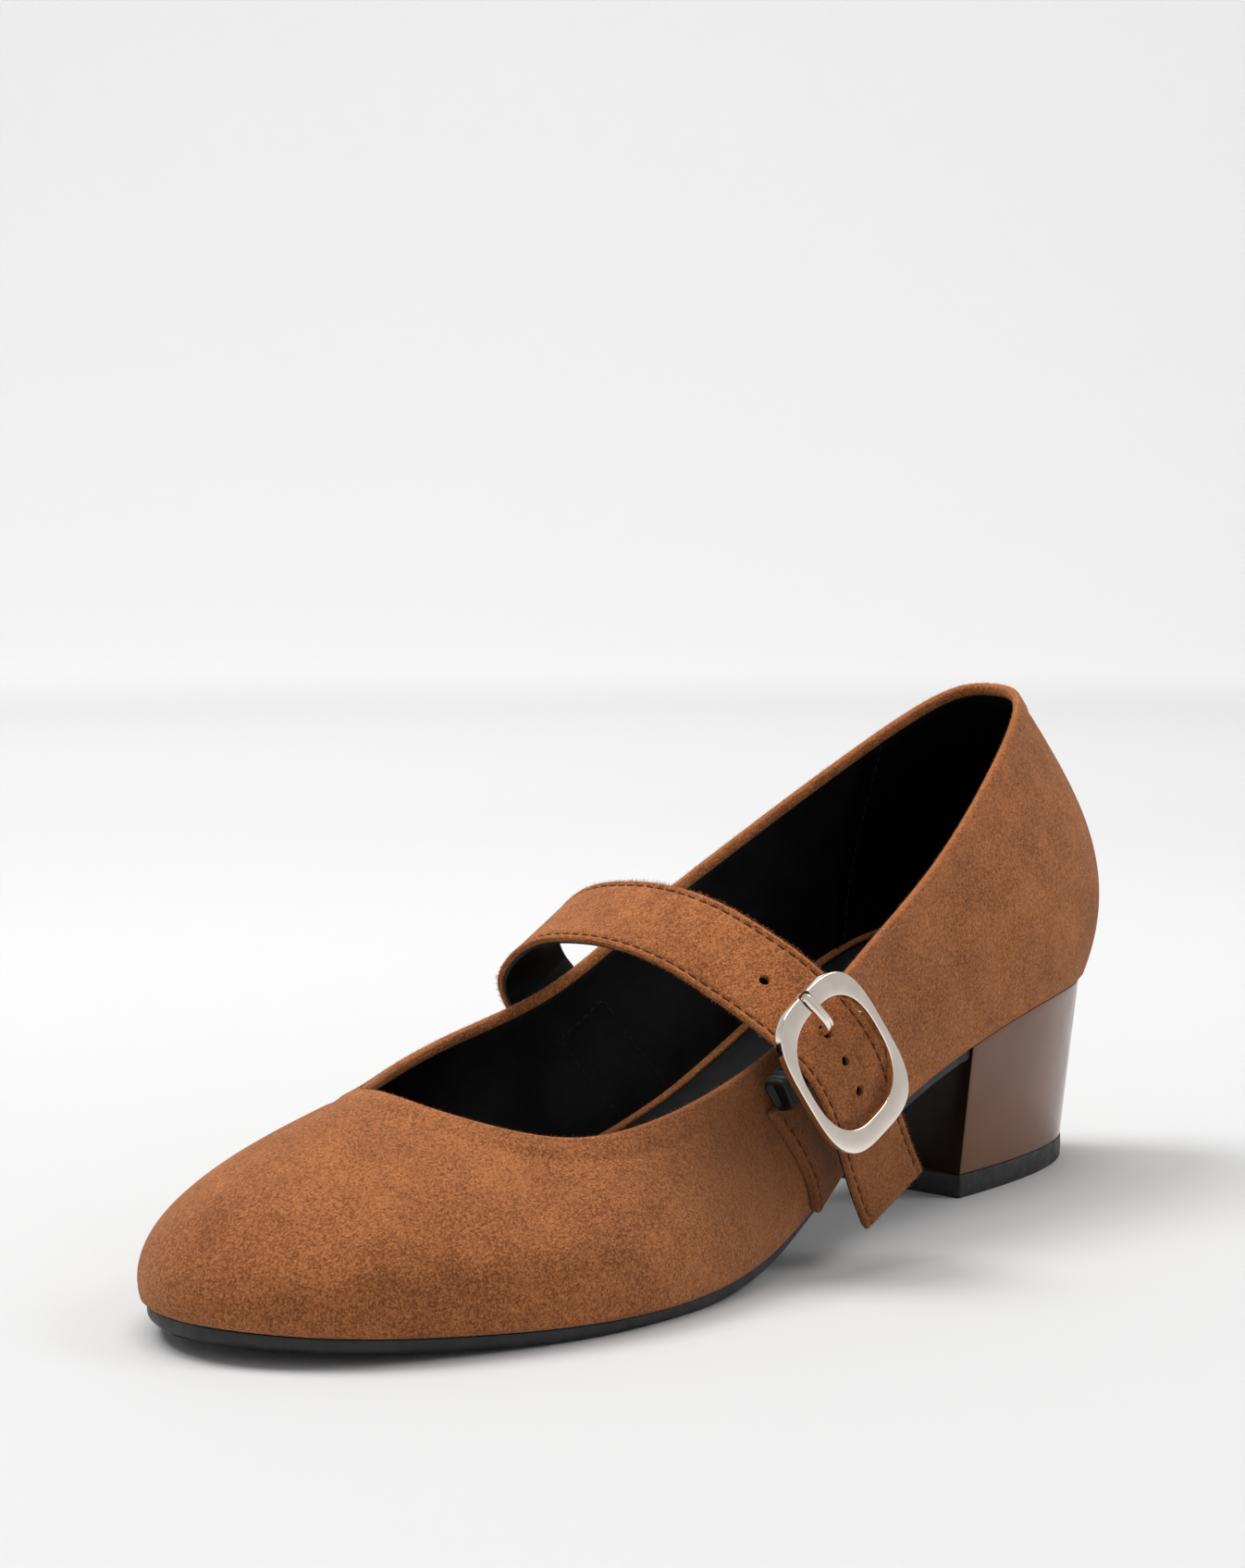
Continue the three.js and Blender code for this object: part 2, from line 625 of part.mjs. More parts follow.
// The band is slit where the prong's eye sits on the bar.
const SLIT_ACROSS = -2.3;
const SLIT_HALF = 1.75;
const SLIT_ALONG = [BAR_ALONG - 6, BAR_ALONG + 3.6];
const SLIT_DEPTH = 5;
const slitCorner = (along, across) => [
  bucklePoint(along, across, -BAR_DROP - SLIT_DEPTH),
  bucklePoint(along, across, -BAR_DROP + SLIT_DEPTH),
];
const slit = between(
  SLIT_ALONG.map((along) => slitCorner(along, SLIT_ACROSS - SLIT_HALF)),
  SLIT_ALONG.map((along) => slitCorner(along, SLIT_ACROSS + SLIT_HALF)),
  false,
);
const elastic = between(loopSkin, loopHole, true).subtract(slit);

const TAB_FOOT = [104.5, 14.0]; // x, z of the tab's middle at the feather edge
const TAB_TOP = [115.9, 35.6]; // x, z of the tab's middle at its upper end
const TAB_FLARE = 2.2; // how much wider the tab is at its top, on the toe side
const tabSkin = [];
for (let i = 0; i <= 12; i++) {
  const f = i / 12;
  const row = [];
  const dx = TAB_TOP[0] - TAB_FOOT[0];
  const dz = TAB_TOP[1] - TAB_FOOT[1];
  const len = Math.hypot(dx, dz);
  for (let j = 0; j <= 4; j++) {
    const over = STRAP_WIDTH * (j / 4 - 0.5) + TAB_FLARE * f * f * (j / 4);
    const x = TAB_FOOT[0] + dx * f + (dz / len) * over;
    const z = TAB_FOOT[1] + dz * f - (dx / len) * over;
    row.push(V(x, wallY(x, z, 1) + GAP + TAB_THICK, z));
  }
  tabSkin.push(row);
}
const tabBack = tabSkin.map((row, i) =>
  row.map((p, j) => p.clone().addScaledVector(faceNormal(tabSkin, i, j), -TAB_THICK)),
);
const buckleTab = between(tabSkin, tabBack, false);

// ---- named meshes ----
const group = new THREE.Group();
function addMesh(name, body, color, roughness, metalness) {
  const data = body.getMesh();
  const geometry = new THREE.BufferGeometry();
  const points = new Float32Array(data.numVert * 3);
  for (let i = 0; i < data.numVert; i++) {
    points.set(data.vertProperties.subarray(i * data.numProp, i * data.numProp + 3), i * 3);
  }
  geometry.setAttribute("position", new THREE.BufferAttribute(points, 3));
  geometry.setIndex(new THREE.BufferAttribute(new Uint32Array(data.triVerts), 1));
  geometry.computeVertexNormals();
  const material = new THREE.MeshStandardMaterial({ color, roughness, metalness });
  const mesh = new THREE.Mesh(geometry, material);
  mesh.name = name;
  group.add(mesh);
}
const SUEDE = 0xa56941;
const RUBBER = 0x2c2e30;
addMesh("upper", upper, SUEDE, 0.95, 0);
addMesh("insole", insole, 0x121212, 0.7, 0);
addMesh("outsole", outsole, RUBBER, 0.6, 0);
addMesh("heel_block", heelBlock, 0x4a2f26, 0.2, 0);
addMesh("heel_cap", heelCap, RUBBER, 0.6, 0);
addMesh("strap", strap, SUEDE, 0.95, 0);
addMesh("buckle_tab", buckleTab, SUEDE, 0.95, 0);
addMesh("elastic_loop", elastic, 0x161616, 0.8, 0);
addMesh("buckle_frame", buckleFrame, 0xe0d0c0, 0.15, 1);
addMesh("buckle_prong", prong, 0xe0d0c0, 0.15, 1);

// The origin is under the middle of the whole shoe, on the floor.
const box = new THREE.Box3().setFromObject(group);
const shift = box.getCenter(V(0, 0, 0)).setZ(box.min.z).negate();

group.children.forEach((mesh) => mesh.geometry.translate(shift.x, shift.y, shift.z));

export default group;
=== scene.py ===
"""A mary jane pump for the left foot: suede upper, lined inside, strap with a buckle, block heel.

Every piece is made in the frame's own place. Sizes in the tables are millimetres, measured
from the heel seat's own zero (see ORIGIN); +X runs to the toe and +Y to the lateral side.
"""

import math

import bmesh
import bpy
import numpy as np
from bpy.props import FloatProperty, FloatVectorProperty, IntProperty, PointerProperty
from bpy.types import Operator, Panel, PropertyGroup
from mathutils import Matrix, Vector
from mathutils.kdtree import KDTree


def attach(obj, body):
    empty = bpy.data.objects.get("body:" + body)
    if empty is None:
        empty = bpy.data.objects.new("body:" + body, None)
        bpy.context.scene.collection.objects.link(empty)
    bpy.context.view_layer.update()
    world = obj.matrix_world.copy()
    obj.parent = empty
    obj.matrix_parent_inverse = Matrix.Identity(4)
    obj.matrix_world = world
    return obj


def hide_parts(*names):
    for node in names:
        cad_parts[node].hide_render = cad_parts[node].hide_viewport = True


bl_info = {
    "name": "Mary Jane Pump",
    "version": (1, 0, 0),
    "blender": (4, 5, 0),
    "location": "View3D > Sidebar > Pump",
    "description": "Builds a suede mary jane pump round its packed frame",
    "category": "Object",
}

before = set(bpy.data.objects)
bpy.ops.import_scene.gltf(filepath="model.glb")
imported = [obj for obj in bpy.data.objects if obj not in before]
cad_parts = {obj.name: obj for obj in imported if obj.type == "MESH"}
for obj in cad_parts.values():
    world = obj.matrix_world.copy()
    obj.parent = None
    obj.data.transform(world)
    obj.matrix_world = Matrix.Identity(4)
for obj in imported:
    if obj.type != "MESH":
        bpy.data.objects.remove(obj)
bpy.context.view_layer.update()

MM = 0.001
ORIGIN = np.array([-108.98, -2.945, 0.0])  # the tables' zero in the row's frame
UP = np.array([0, 0, 1.0])

# ---- upper, insole and sole ----
WALL = 1.9
GAP = 0.3
SUEDE = 1.0  # suede layer of the upper's wall
FOLD = 2.0  # depth of suede folded over the topline
FOLD_END = 3.6  # below the topline, where the suede's inner face is back at its own thickness
STATION_MM = 14.5  # millimetres round the back of the heel from one row to the next
RIM_BELOW = 0.7  # where the wall's outer face turns into the rim
RIM_HALF = WALL / 2
LINING_OUT, LINING_IN = 1.1, WALL + 0.05  # the lining's two faces, from the wall's outer face
GRIP_TOP = 1.8  # how far round from the back seam the heel grip reaches at the topline
GRIP_FOOT = 2.35  # and at the foot
GRIP_THICK = 0.45
INSOLE_THICK = 3.0
PAD_HIGH, PAD_FROM = 9.0, 95.0  # the heel pad's rim: rise at the very back, where it starts
SOLE_THICK = 2.2
TIP = 0.25  # how far a plate's outline stays off the very ends of its edges

# ---- heel ----
CAP_HEIGHT = 4.8
BREAST_TOP_X = 51.0
BREAST_FOOT_X = 48.7
BREAST_POINTS = 10
HEEL_INSET = 0.5  # heel block inside the feather line
HEEL_BACK_X = -7.8
HEEL_FOOT_HALF = 20.5
HEEL_CURVE = 2.4

# ---- strap and tab ----
STRAP_HALF = 8.75
STRAP_THICK = 2.0
STRAP_YAW = math.radians(-3.0)
STRAP_TILT = math.radians(-30.0)
STRAP_OFFSET = 78.5
STRAP_FOOT_ALONG = 71.0
SEAM_AT = STRAP_HALF - 1.35  # the stitch line, from the strap's middle
SEAM_DEEP = 0.34
THREAD_DEEP = 0.24
TAIL = 0.09  # stretch of the curve in which the strap's tail rounds off
TAB_FOOT = (104.5, 14.0)
TAB_TOP = (115.9, 35.6)
TAB_THICK = 1.8
TAB_FLARE = 2.2  # how much wider the tab is at its top, on the toe side

# ---- buckle, prong and elastic, in the buckle's own frame ----
BUCKLE_TURN = math.radians(11.7)
BUCKLE_CENTRE = (6.0, 1.3, 0.5)
BUCKLE_LONG, BUCKLE_WIDE = 31.0, 24.0
BUCKLE_OPEN_LONG, BUCKLE_OPEN_WIDE = 23.4, 20.4
BUCKLE_THICK = 1.7
BUCKLE_EDGE = 0.24  # radius of its edges
BAR_DROP = 5.5
BAR_RADIUS = 0.9
BAR_ALONG = -3.0  # the bar sits a little above the middle of the frame
BAR_SHIFT = 0.3
BAR_BEND = 1.4
PRONG_RADIUS = 0.85
PRONG_SKEW = 0.24  # the prong slants across the frame as it goes up from the hole
PRONG_HOLE_ALONG = -6.9
PRONG_WIDE, PRONG_HIGH = 1.95, 1.5
# Up through the hole, then down onto the frame's notch: (along, out).
PRONG_RISE = [(-5.4, -3.6), (-5.9, -2.2), (-6.3, -0.6), (PRONG_HOLE_ALONG, 0.8), (-8.2, 1.6)]
PRONG_REST = [(-10.2, 1.85), (-12.8, 1.9), (-15.2, 1.8)]
ELASTIC_EDGES = (-9.0, 11.7)  # across the buckle: heel side, toe side
ELASTIC_THICK = 0.8
RIB_PITCH, RIB_HIGH = 1.3, 0.36
LOOP_LONG = 3.2
LOOP_LEAN = -0.12
LOOP_LIFT = 1.7  # how far the loose toe-side edge of the loop stands up beside the strap
SLIT_ACROSS = -2.3  # the slit where the prong's eye sits on the bar
SLIT_HALF = 1.75

SHADE_AND_NAP_SPOT = (133.0, 32.0, 26.0)  # painted shade and brushed-down nap beside the tab
SHADE_AND_NAP_REACH = 25.0

# The lasted upper, a row per station: foot x, y, z; topline x, y, z; swell of the wall at the
# foot and its angle; shoulder below the topline and its angle. Heel back, lateral, toe, medial.
UPPER_ROWS = [
    (-9.0, 1.0, 38.5, 10.8, 0.0, 101.2, 30, 68, 23, 50),
    (-3.5, 14.5, 38.5, 16.3, 10.8, 98.6, 27, 68, 22.5, 54),
    (19.0, 23.5, 38.0, 36.0, 18.8, 86.5, 23, 74, 18.5, 60),
    (44.0, 25.5, 33.7, 61.5, 23.8, 70.0, 18, 76, 15, 68),
    (70.5, 25.0, 25.0, 89.0, 27.8, 56.5, 15, 75, 13, 75),
    (96.0, 27.5, 14.7, 112.0, 29.5, 44.5, 14, 76, 12.3, 76),
    (121.0, 33.5, 6.3, 131.5, 29.5, 37.0, 14, 77, 12.6, 73),
    (146.5, 38.4, 2.7, 150.5, 28.0, 32.5, 15, 77, 13.2, 62),
    (174.7, 37.5, 2.5, 166.5, 23.5, 31.1, 15, 75, 14.5, 46),
    (201.0, 28.5, 3.7, 178.0, 15.4, 33.6, 15.2, 73, 18, 32),
    (221.0, 14.8, 5.1, 185.0, 5.5, 36.9, 15.2, 71, 21.3, 23),
    (230.5, -5.8, 6.0, 186.0, -4.5, 38.4, 15, 69, 23, 18),
    (223.5, -24.3, 5.4, 182.5, -13.0, 37.2, 16, 71, 21.3, 18),
    (207.3, -35.0, 4.1, 175.5, -20.3, 35.9, 16.2, 74, 17.8, 28),
    (187.0, -40.0, 2.5, 164.3, -29.3, 34.5, 15.5, 76, 14.5, 43),
    (163.4, -38.2, 2.7, 152.0, -34.0, 36.0, 15.2, 77, 13.2, 60),
    (138.0, -31.0, 5.8, 136.3, -33.8, 39.8, 14, 77, 12.6, 72),
    (111.0, -22.5, 13.2, 116.0, -30.5, 45.8, 14, 76, 12.3, 75),
    (83.7, -19.0, 24.0, 93.2, -28.0, 57.4, 15, 75.5, 13, 73.5),
    (55.7, -20.8, 32.6, 64.5, -24.8, 71.8, 18, 77, 15, 67),
    (28.0, -21.0, 37.7, 37.2, -18.4, 86.8, 23, 75, 18.5, 58),
    (4.0, -12.6, 38.5, 15.5, -10.2, 98.8, 27, 69, 22.5, 52),
]
ROUND = len(UPPER_ROWS)

# The strap's outer face in its own plane: across, along, roll in degrees.
STRAP_ROWS = [
    (-28.6, 99.0, 0),
    (-26.2, 106.5, 0),
    (-18.6, 113.2, 0),
    (-8.8, 117.9, 1),
    (3.0, 119.6, 3),
    (13.5, 118.9, 5),
    (23.0, 115.9, 7),
    (31.4, 110.8, 9),
    (38.6, 105.4, 8),
    (44.0, 99.6, 3),
    (47.4, 93.5, 0),
    (48.6, 86.5, 0),
    (48.2, 79.0, 0),
    (47.4, 72.0, 0),
    (46.9, 65.0, 1),
    (46.8, 58.6, 2),
]
STRAP_END = len(STRAP_ROWS) - 1.0
HOLE_MAIN = (45.8, 97.4)
HOLES = [(35.9, 107.6), (41.5, 102.6), HOLE_MAIN, (48.2, 91.2), (48.7, 84.5)]

# Soft troughs (positive depth) and ridges (negative) of the upper: centre x, y, z, the way the
# crease runs as x, y, z, its half length, half width and depth.
CREASES = [
    (198.0, 24.0, 22.0, 0.6, -0.4, 0.5, 9.0, 4.5, 0.45),
    (188.0, 30.0, 20.0, 0.6, -0.3, -0.2, 16.0, 5.0, 0.30),
    (206.0, 6.0, 31.0, 0.3, 1.0, 0.0, 14.0, 5.0, 0.25),
    (176.0, 34.0, 14.0, 1.0, -0.2, 0.1, 20.0, 4.0, -0.25),
    (152.0, 36.0, 20.0, 0.8, 0.0, -0.3, 14.0, 5.0, 0.35),
    (135.0, 31.0, 27.0, 0.5, 0.0, -0.9, 12.0, 4.5, 0.50),
    (124.0, 31.0, 22.0, 0.3, 0.0, -1.0, 12.0, 4.0, -0.25),
    (80.0, 30.0, 38.0, 0.7, 0.0, -0.7, 16.0, 5.0, 0.40),
    (62.0, 28.0, 52.0, 0.3, 0.1, 1.0, 13.0, 4.0, 0.35),
    (47.0, 27.0, 52.0, 0.4, 0.1, 0.9, 12.0, 3.5, 0.45),
    (38.0, 26.0, 60.0, 0.3, 0.1, 1.0, 14.0, 4.0, -0.30),
    (22.0, 24.0, 72.0, 0.2, 0.2, 1.0, 12.0, 4.0, 0.30),
    (30.0, 26.0, 48.0, 1.0, 0.3, 0.1, 14.0, 4.0, 0.30),
    (190.0, -36.0, 18.0, 0.8, 0.4, 0.1, 18.0, 5.0, 0.35),
    (160.0, -38.0, 20.0, 0.9, 0.0, -0.2, 16.0, 5.0, 0.30),
    (92.0, -26.0, 42.0, 0.6, 0.0, -0.8, 14.0, 5.0, 0.40),
    (50.0, -27.0, 55.0, 0.4, 0.0, 0.9, 14.0, 4.5, 0.40),
    (24.0, -24.0, 66.0, 0.2, -0.2, 1.0, 13.0, 4.0, 0.30),
]

# The stitched box that holds the strap's end, on the medial lining: x, z.
BOX_SEAM = [(102.5, 15.0), (115.5, 35.5), (104.5, 42.5), (91.0, 20.0)]

# ---- stage, in metres; the camera is in millimetres from the tables' zero ----
FLOOR_CURVE = 1.5  # radius of the curve from floor to wall
BACKDROP_HIGH = 3.4
WORLD_STRENGTH = 0.38
LIGHTS = [
    # name, place in metres, size in metres, watts, aimed at
    ("key_left", (0.6, -1.1, 2.3), 1.2, 41.5, (0, 0, 0.03)),
    ("overhead", (0.0, 0.0, 2.4), 1.4, 21.0, (0, 0, 0.03)),
    ("fill_right", (-1.2, 1.6, 1.7), 1.0, 11.0, (0, 0, 0.03)),
    ("backdrop", (-0.6, -0.6, 2.3), 1.0, 43.0, (-2.6, -2.6, 1.25)),
]
CAMERA_AT = (547.4, 365.9, 135.4)
CAMERA_LOOK = (100.7, -24.2, 39.7)
LENS = 88.5
SHIFT_UP = 0.183  # the shoe stands below the middle of the frame

# Corners of a rounded box: which side in each direction, and where the arc starts.
CORNERS = ((1, 1, 0), (-1, 1, 90), (-1, -1, 180), (1, -1, 270))


# ======================= curves and surfaces of the shoe =======================
def closed_curve(rows):
    """A periodic curve through the rows, smooth to the second derivative."""
    rows = np.array(rows, float)
    n = len(rows)
    c = rows.copy()
    for _ in range(40):
        for i in range(n):
            c[i] = (6 * rows[i] - c[i - 1] - c[(i + 1) % n]) / 4

    def at(t):
        t = np.asarray(t, float)
        i = np.floor(t).astype(int)
        f = (t - i)[..., None]
        w0 = (1 - f) ** 3 / 6
        w1 = (3 * f**3 - 6 * f * f + 4) / 6
        w3 = f**3 / 6
        weights = (w0, w1, 1 - w0 - w1 - w3, w3)
        return sum(w * c[(i + k) % n] for k, w in enumerate(weights, -1))

    return at


def open_curve(rows):
    """A Catmull-Rom curve through the rows, on an array of places u."""
    rows = np.array(rows, float)
    rows = np.vstack([2 * rows[0] - rows[1], rows, 2 * rows[-1] - rows[-2]])

    def at(u):
        u = np.asarray(u, float)
        i = np.clip(np.floor(u).astype(int), 0, len(rows) - 4)
        f = (u - i)[..., None]
        a, b, c, d = (rows[i + k] for k in range(4))
        return b + 0.5 * f * (c - a + f * (2 * a - 5 * b + 4 * c - d + f * (3 * (b - c) + d - a)))

    return at


def unit(v):
    return v / np.maximum(np.linalg.norm(v, axis=-1, keepdims=True), 1e-12)


def smooth(x, lo, hi):
    f = np.clip((np.asarray(x, float) - lo) / (hi - lo), 0, 1)
    return f * f * (3 - 2 * f)


def bell(x, width):
    return np.exp(-((x / width) ** 2))


UPPER = closed_curve(UPPER_ROWS)


def foot_out(t):
    """Outward direction of the feather line in plan."""
    d = UPPER(np.asarray(t) + 0.01)[..., :2] - UPPER(np.asarray(t) - 0.01)[..., :2]
    return unit(np.stack([-d[..., 1], d[..., 0], 0 * d[..., 0]], -1))


def upper_point(t, s):
    """The upper's outer face: t goes round the foot, s from the feather edge to the topline."""
    r = UPPER(t)
    foot, top = r[..., 0:3], r[..., 3:6]
    out = foot_out(t)
    lean = unit((foot - top) * [1, 1, 0] + 6 * out)
    a1 = np.radians(r[..., 7:8])
    a2 = np.radians(r[..., 9:10])
    c1 = foot + r[..., 6:7] * (out * np.cos(a1) + UP * np.sin(a1))
    c2 = top + r[..., 8:9] * (lean * np.cos(a2) - UP * np.sin(a2))
    s = np.asarray(s, float)[..., None]
    q = 1 - s
    return q**3 * foot + 3 * q * q * s * c1 + 3 * q * s * s * c2 + s**3 * top


def upper_normal(t, s):
    dt = upper_point(t + 0.02, s) - upper_point(t - 0.02, s)
    ds = upper_point(t, np.minimum(s + 0.01, 1)) - upper_point(t, np.maximum(s - 0.01, 0))
    return unit(np.cross(ds, dt))


def inside_wall(t, s, inset):
    return upper_point(t, s) - upper_normal(t, s) * inset


def up_wall(t, s):
    """The way the wall climbs at its top edge."""
    return unit(upper_point(t, s) - upper_point(t, s - 0.02))


def rise_at(t, below):
    """The rise s that lies so many millimetres below the topline."""
    return 1 - below / (3 * UPPER(t)[..., 8])


def crease_depth(p):
    """How far the creases push the skin in at points p."""
    depth = np.zeros(p.shape[:-1])
    for x, y, z, dx, dy, dz, half_long, half_wide, deep in CREASES:
        way = unit(np.array([dx, dy, dz], float))
        d = p - np.array([x, y, z])
        along = d @ way
        off = np.linalg.norm(d - along[..., None] * way, axis=-1)
        depth += deep * np.exp(-((along / half_long) ** 2) - (off / half_wide) ** 2)
    return depth


# ---- side walls, for what lies on them ----
def wall_lines(side):
    t = 1 + np.arange(161) / 160 * 9
    s = np.arange(25) / 24
    return upper_point(*np.meshgrid(t if side > 0 else ROUND - t, s, indexing="ij"))


WALLS = {1: wall_lines(1), -1: wall_lines(-1)}


def wall_y(x, z, side):
    """y of the outer face of a side wall at arrays x and z."""
    shape = np.shape(x)
    x, z = np.ravel(x), np.ravel(z)
    lines = WALLS[side]
    px, py = (np.array([np.interp(z, line[:, 2], line[:, k]) for line in lines]) for k in (0, 1))
    k = np.clip(np.argmax(px > x, axis=0), 1, len(lines) - 1)
    j = np.arange(len(x))
    f = (x - px[k - 1, j]) / (px[k, j] - px[k - 1, j])
    return (py[k - 1, j] + (py[k, j] - py[k - 1, j]) * f).reshape(shape)


def rim_z(x, side):
    tops = WALLS[side][:, -1]
    return np.interp(x, tops[:, 0], tops[:, 2])


# ---- the feather line as lateral and medial edges ----
def edge_lists(inset):
    t = np.arange(880) / 880 * ROUND
    r = UPPER(t)
    pts = r[:, :3] - foot_out(t) * inset(r[:, 0])[:, None]
    pts = np.roll(pts, -pts[:, 0].argmin(), axis=0)
    pts = np.vstack([pts, pts[:1]])
    toe = pts[:, 0].argmax()
    return pts[: toe + 1], pts[toe:][::-1]


def edge_at(points, x):
    x = np.asarray(x, float)
    return np.stack([x] + [np.interp(x, points[:, 0], points[:, k]) for k in (1, 2)], -1)


def seat_z(edges, x, y):
    """Height of the ruled seat between the two edges, and how far across it the point is."""
    lat, med = (edge_at(e, x) for e in edges)
    f = np.clip((y - med[..., 1]) / np.maximum(lat[..., 1] - med[..., 1], 1e-6), 0, 1)
    return med[..., 2] + (lat[..., 2] - med[..., 2]) * f, np.sin(np.pi * f)


# ---- the strap's plane and the buckle's frame ----
STRAP_W = np.array(
    [
        math.cos(STRAP_YAW) * math.cos(STRAP_TILT),
        math.sin(STRAP_YAW) * math.cos(STRAP_TILT),
        math.sin(STRAP_TILT),
    ]
)
STRAP_A = unit(np.cross(UP, STRAP_W))
STRAP_B = np.cross(STRAP_W, STRAP_A)
STRAP_CURVE = open_curve(STRAP_ROWS)
BUCKLE_T = STRAP_A * math.sin(BUCKLE_TURN) - STRAP_B * math.cos(BUCKLE_TURN)
BUCKLE_N = STRAP_A * math.cos(BUCKLE_TURN) + STRAP_B * math.sin(BUCKLE_TURN)


def in_axes(zero, axes, *places):
    """Points at the places along three axes; each place is a number or an array."""
    places = np.broadcast_arrays(*(np.asarray(place, float) for place in places))
    return sum((place[..., None] * axis for place, axis in zip(places, axes)), start=zero)


def in_strap_plane(across, along, over=0.0):
    return in_axes(0.0, (STRAP_A, STRAP_B, STRAP_W), across, along, STRAP_OFFSET + over)


BUCKLE_ZERO = (
    in_strap_plane(*HOLE_MAIN)
    + BUCKLE_T * BUCKLE_CENTRE[0]
    + STRAP_W * BUCKLE_CENTRE[1]
    + BUCKLE_N * BUCKLE_CENTRE[2]
)


def on_buckle(along, across, out):
    return in_axes(BUCKLE_ZERO, (BUCKLE_T, STRAP_W, BUCKLE_N), along, across, out)


def prong_point(along, out):
    along = np.asarray(along, float)
    return on_buckle(along, PRONG_SKEW * (PRONG_HOLE_ALONG - along) - BUCKLE_CENTRE[1], out)


def strap_skin(u, over):
    """The strap's outer face. u < 0 is the stretch on the medial wall, down to the feather edge."""
    u, over = np.broadcast_arrays(np.asarray(u, float), np.asarray(over, float))
    r = STRAP_CURVE(np.maximum(u, 0))
    ahead = STRAP_CURVE(np.clip(u + 0.05, 0, STRAP_END))
    behind = STRAP_CURVE(np.clip(u - 0.05, 0, STRAP_END))
    d = ahead - behind
    tangent = unit(d[..., 0:1] * STRAP_A + d[..., 1:2] * STRAP_B + 1e-9)
    roll = np.radians(r[..., 2:3])
    side = STRAP_W * np.cos(roll) + np.cross(tangent, STRAP_W) * np.sin(roll)
    p = in_strap_plane(r[..., 0], r[..., 1]) + side * over[..., None]
    first = STRAP_ROWS[0]
    low = in_strap_plane(first[0], first[1] + u * (first[1] - STRAP_FOOT_ALONG), over)
    p = np.where((u < 0)[..., None], low, p)
    medial = p[..., 1] < 0
    clear = wall_y(p[..., 0], p[..., 2], -1) - GAP - STRAP_THICK - 0.15
    free = smooth(p[..., 2] - rim_z(p[..., 0], -1), -5, 6)
    y = clear + (p[..., 1] - clear) * free
    p[..., 1] = np.where(medial, y, p[..., 1])
    return p


def strap_frame(u, over):
    """Point and inward normal of the strap's outer face."""
    ahead = strap_skin(np.minimum(u + 0.04, STRAP_END), over)
    dv = strap_skin(u, over + 0.4) - strap_skin(u, over - 0.4)
    n = unit(np.cross(ahead - strap_skin(np.maximum(u - 0.04, -1), over), dv))
    return strap_skin(u, over), n


def tab_frame(f, over):
    """Point and inward normal of the tab's outer face: f from the feather edge up."""
    (ax, az), (bx, bz) = TAB_FOOT, TAB_TOP
    long = math.hypot(bx - ax, bz - az)

    def face(f, over):
        over = over + TAB_FLARE * f * f * (over / (2 * STRAP_HALF) + 0.5)
        x = ax + (bx - ax) * f + (bz - az) / long * over
        z = az + (bz - az) * f - (bx - ax) / long * over
        return np.stack([x, wall_y(x, z, 1) + GAP + TAB_THICK, z], -1)

    df = face(f + 0.01, over) - face(f - 0.01, over)
    dv = face(f, over + 0.2) - face(f, over - 0.2)
    n = unit(np.cross(dv, df))
    return face(f, over), n * -np.sign(n[..., 1:2])


# ======================= mesh helpers =======================
def link_object(name, mesh):
    obj = bpy.data.objects.new(name, mesh)
    bpy.context.scene.collection.objects.link(obj)
    return obj


def set_edges(mesh, angle):
    """Shades the mesh smooth, with edges over the angle left sharp."""
    mesh.shade_smooth()
    mesh.set_sharp_from_angle(angle=math.radians(angle))


def make_object(name, verts, faces, materials=(), merge=0.002):
    """A closed piece from table millimetres: doubles merged, faces turned outwards."""
    verts = (np.asarray(verts, float).reshape(-1, 3) + ORIGIN) * MM
    mesh = bpy.data.meshes.new(name)
    mesh.from_pydata(verts.tolist(), [], faces)
    mesh.validate()
    for material in materials:
        mesh.materials.append(material)
    bm = bmesh.new()
    bm.from_mesh(mesh)
    bmesh.ops.remove_doubles(bm, verts=bm.verts, dist=merge * MM)
    bmesh.ops.dissolve_degenerate(bm, edges=bm.edges, dist=1e-7)
    bmesh.ops.recalc_face_normals(bm, faces=bm.faces)
    bm.to_mesh(mesh)
    bm.free()
    mesh.shade_smooth()
    return link_object(name, mesh)


def ring_faces(n, m, close_n=True, close_m=True):
    """Quads of an n by m grid of points, joined round in either direction."""
    i = np.arange(n if close_n else n - 1)[:, None]
    j = np.arange(m if close_m else m - 1)[None, :]
    i2, j2 = (i + 1) % n, (j + 1) % m
    return np.stack([i * m + j, i2 * m + j, i2 * m + j2, i * m + j2], -1).reshape(-1, 4).tolist()


def ring_solid(name, grid, materials):
    """A ring of closed sections: grid is stations x section points x 3."""
    return make_object(name, grid, ring_faces(*grid.shape[:2]), materials)


def bar_solid(name, grid, materials):
    """Closed sections from one end to the other, with both ends shut."""
    n, m = grid.shape[:2]
    faces = ring_faces(n, m, close_n=False)
    ends = np.vstack([grid.reshape(-1, 3), grid[0].mean(0), grid[-1].mean(0)])
    for j in range(m):
        k = (j + 1) % m
        faces.append([n * m, j, k])
        faces.append([n * m + 1, (n - 1) * m + k, (n - 1) * m + j])
    return make_object(name, ends, faces, materials)


def sweep(name, path, section, up, materials=(), scale=1.0):
    """A closed section carried along a path; up is the way its second axis points."""
    tangent = unit(np.gradient(path, axis=0))
    side = unit(np.cross(tangent, np.broadcast_to(up, path.shape)))
    lift = np.cross(side, tangent)
    section = np.asarray(section, float)
    size = np.broadcast_to(scale, len(path))
    grid = path[:, None] + size[:, None, None] * (
        section[None, :, 0:1] * side[:, None] + section[None, :, 1:2] * lift[:, None]
    )
    return bar_solid(name, grid, materials)


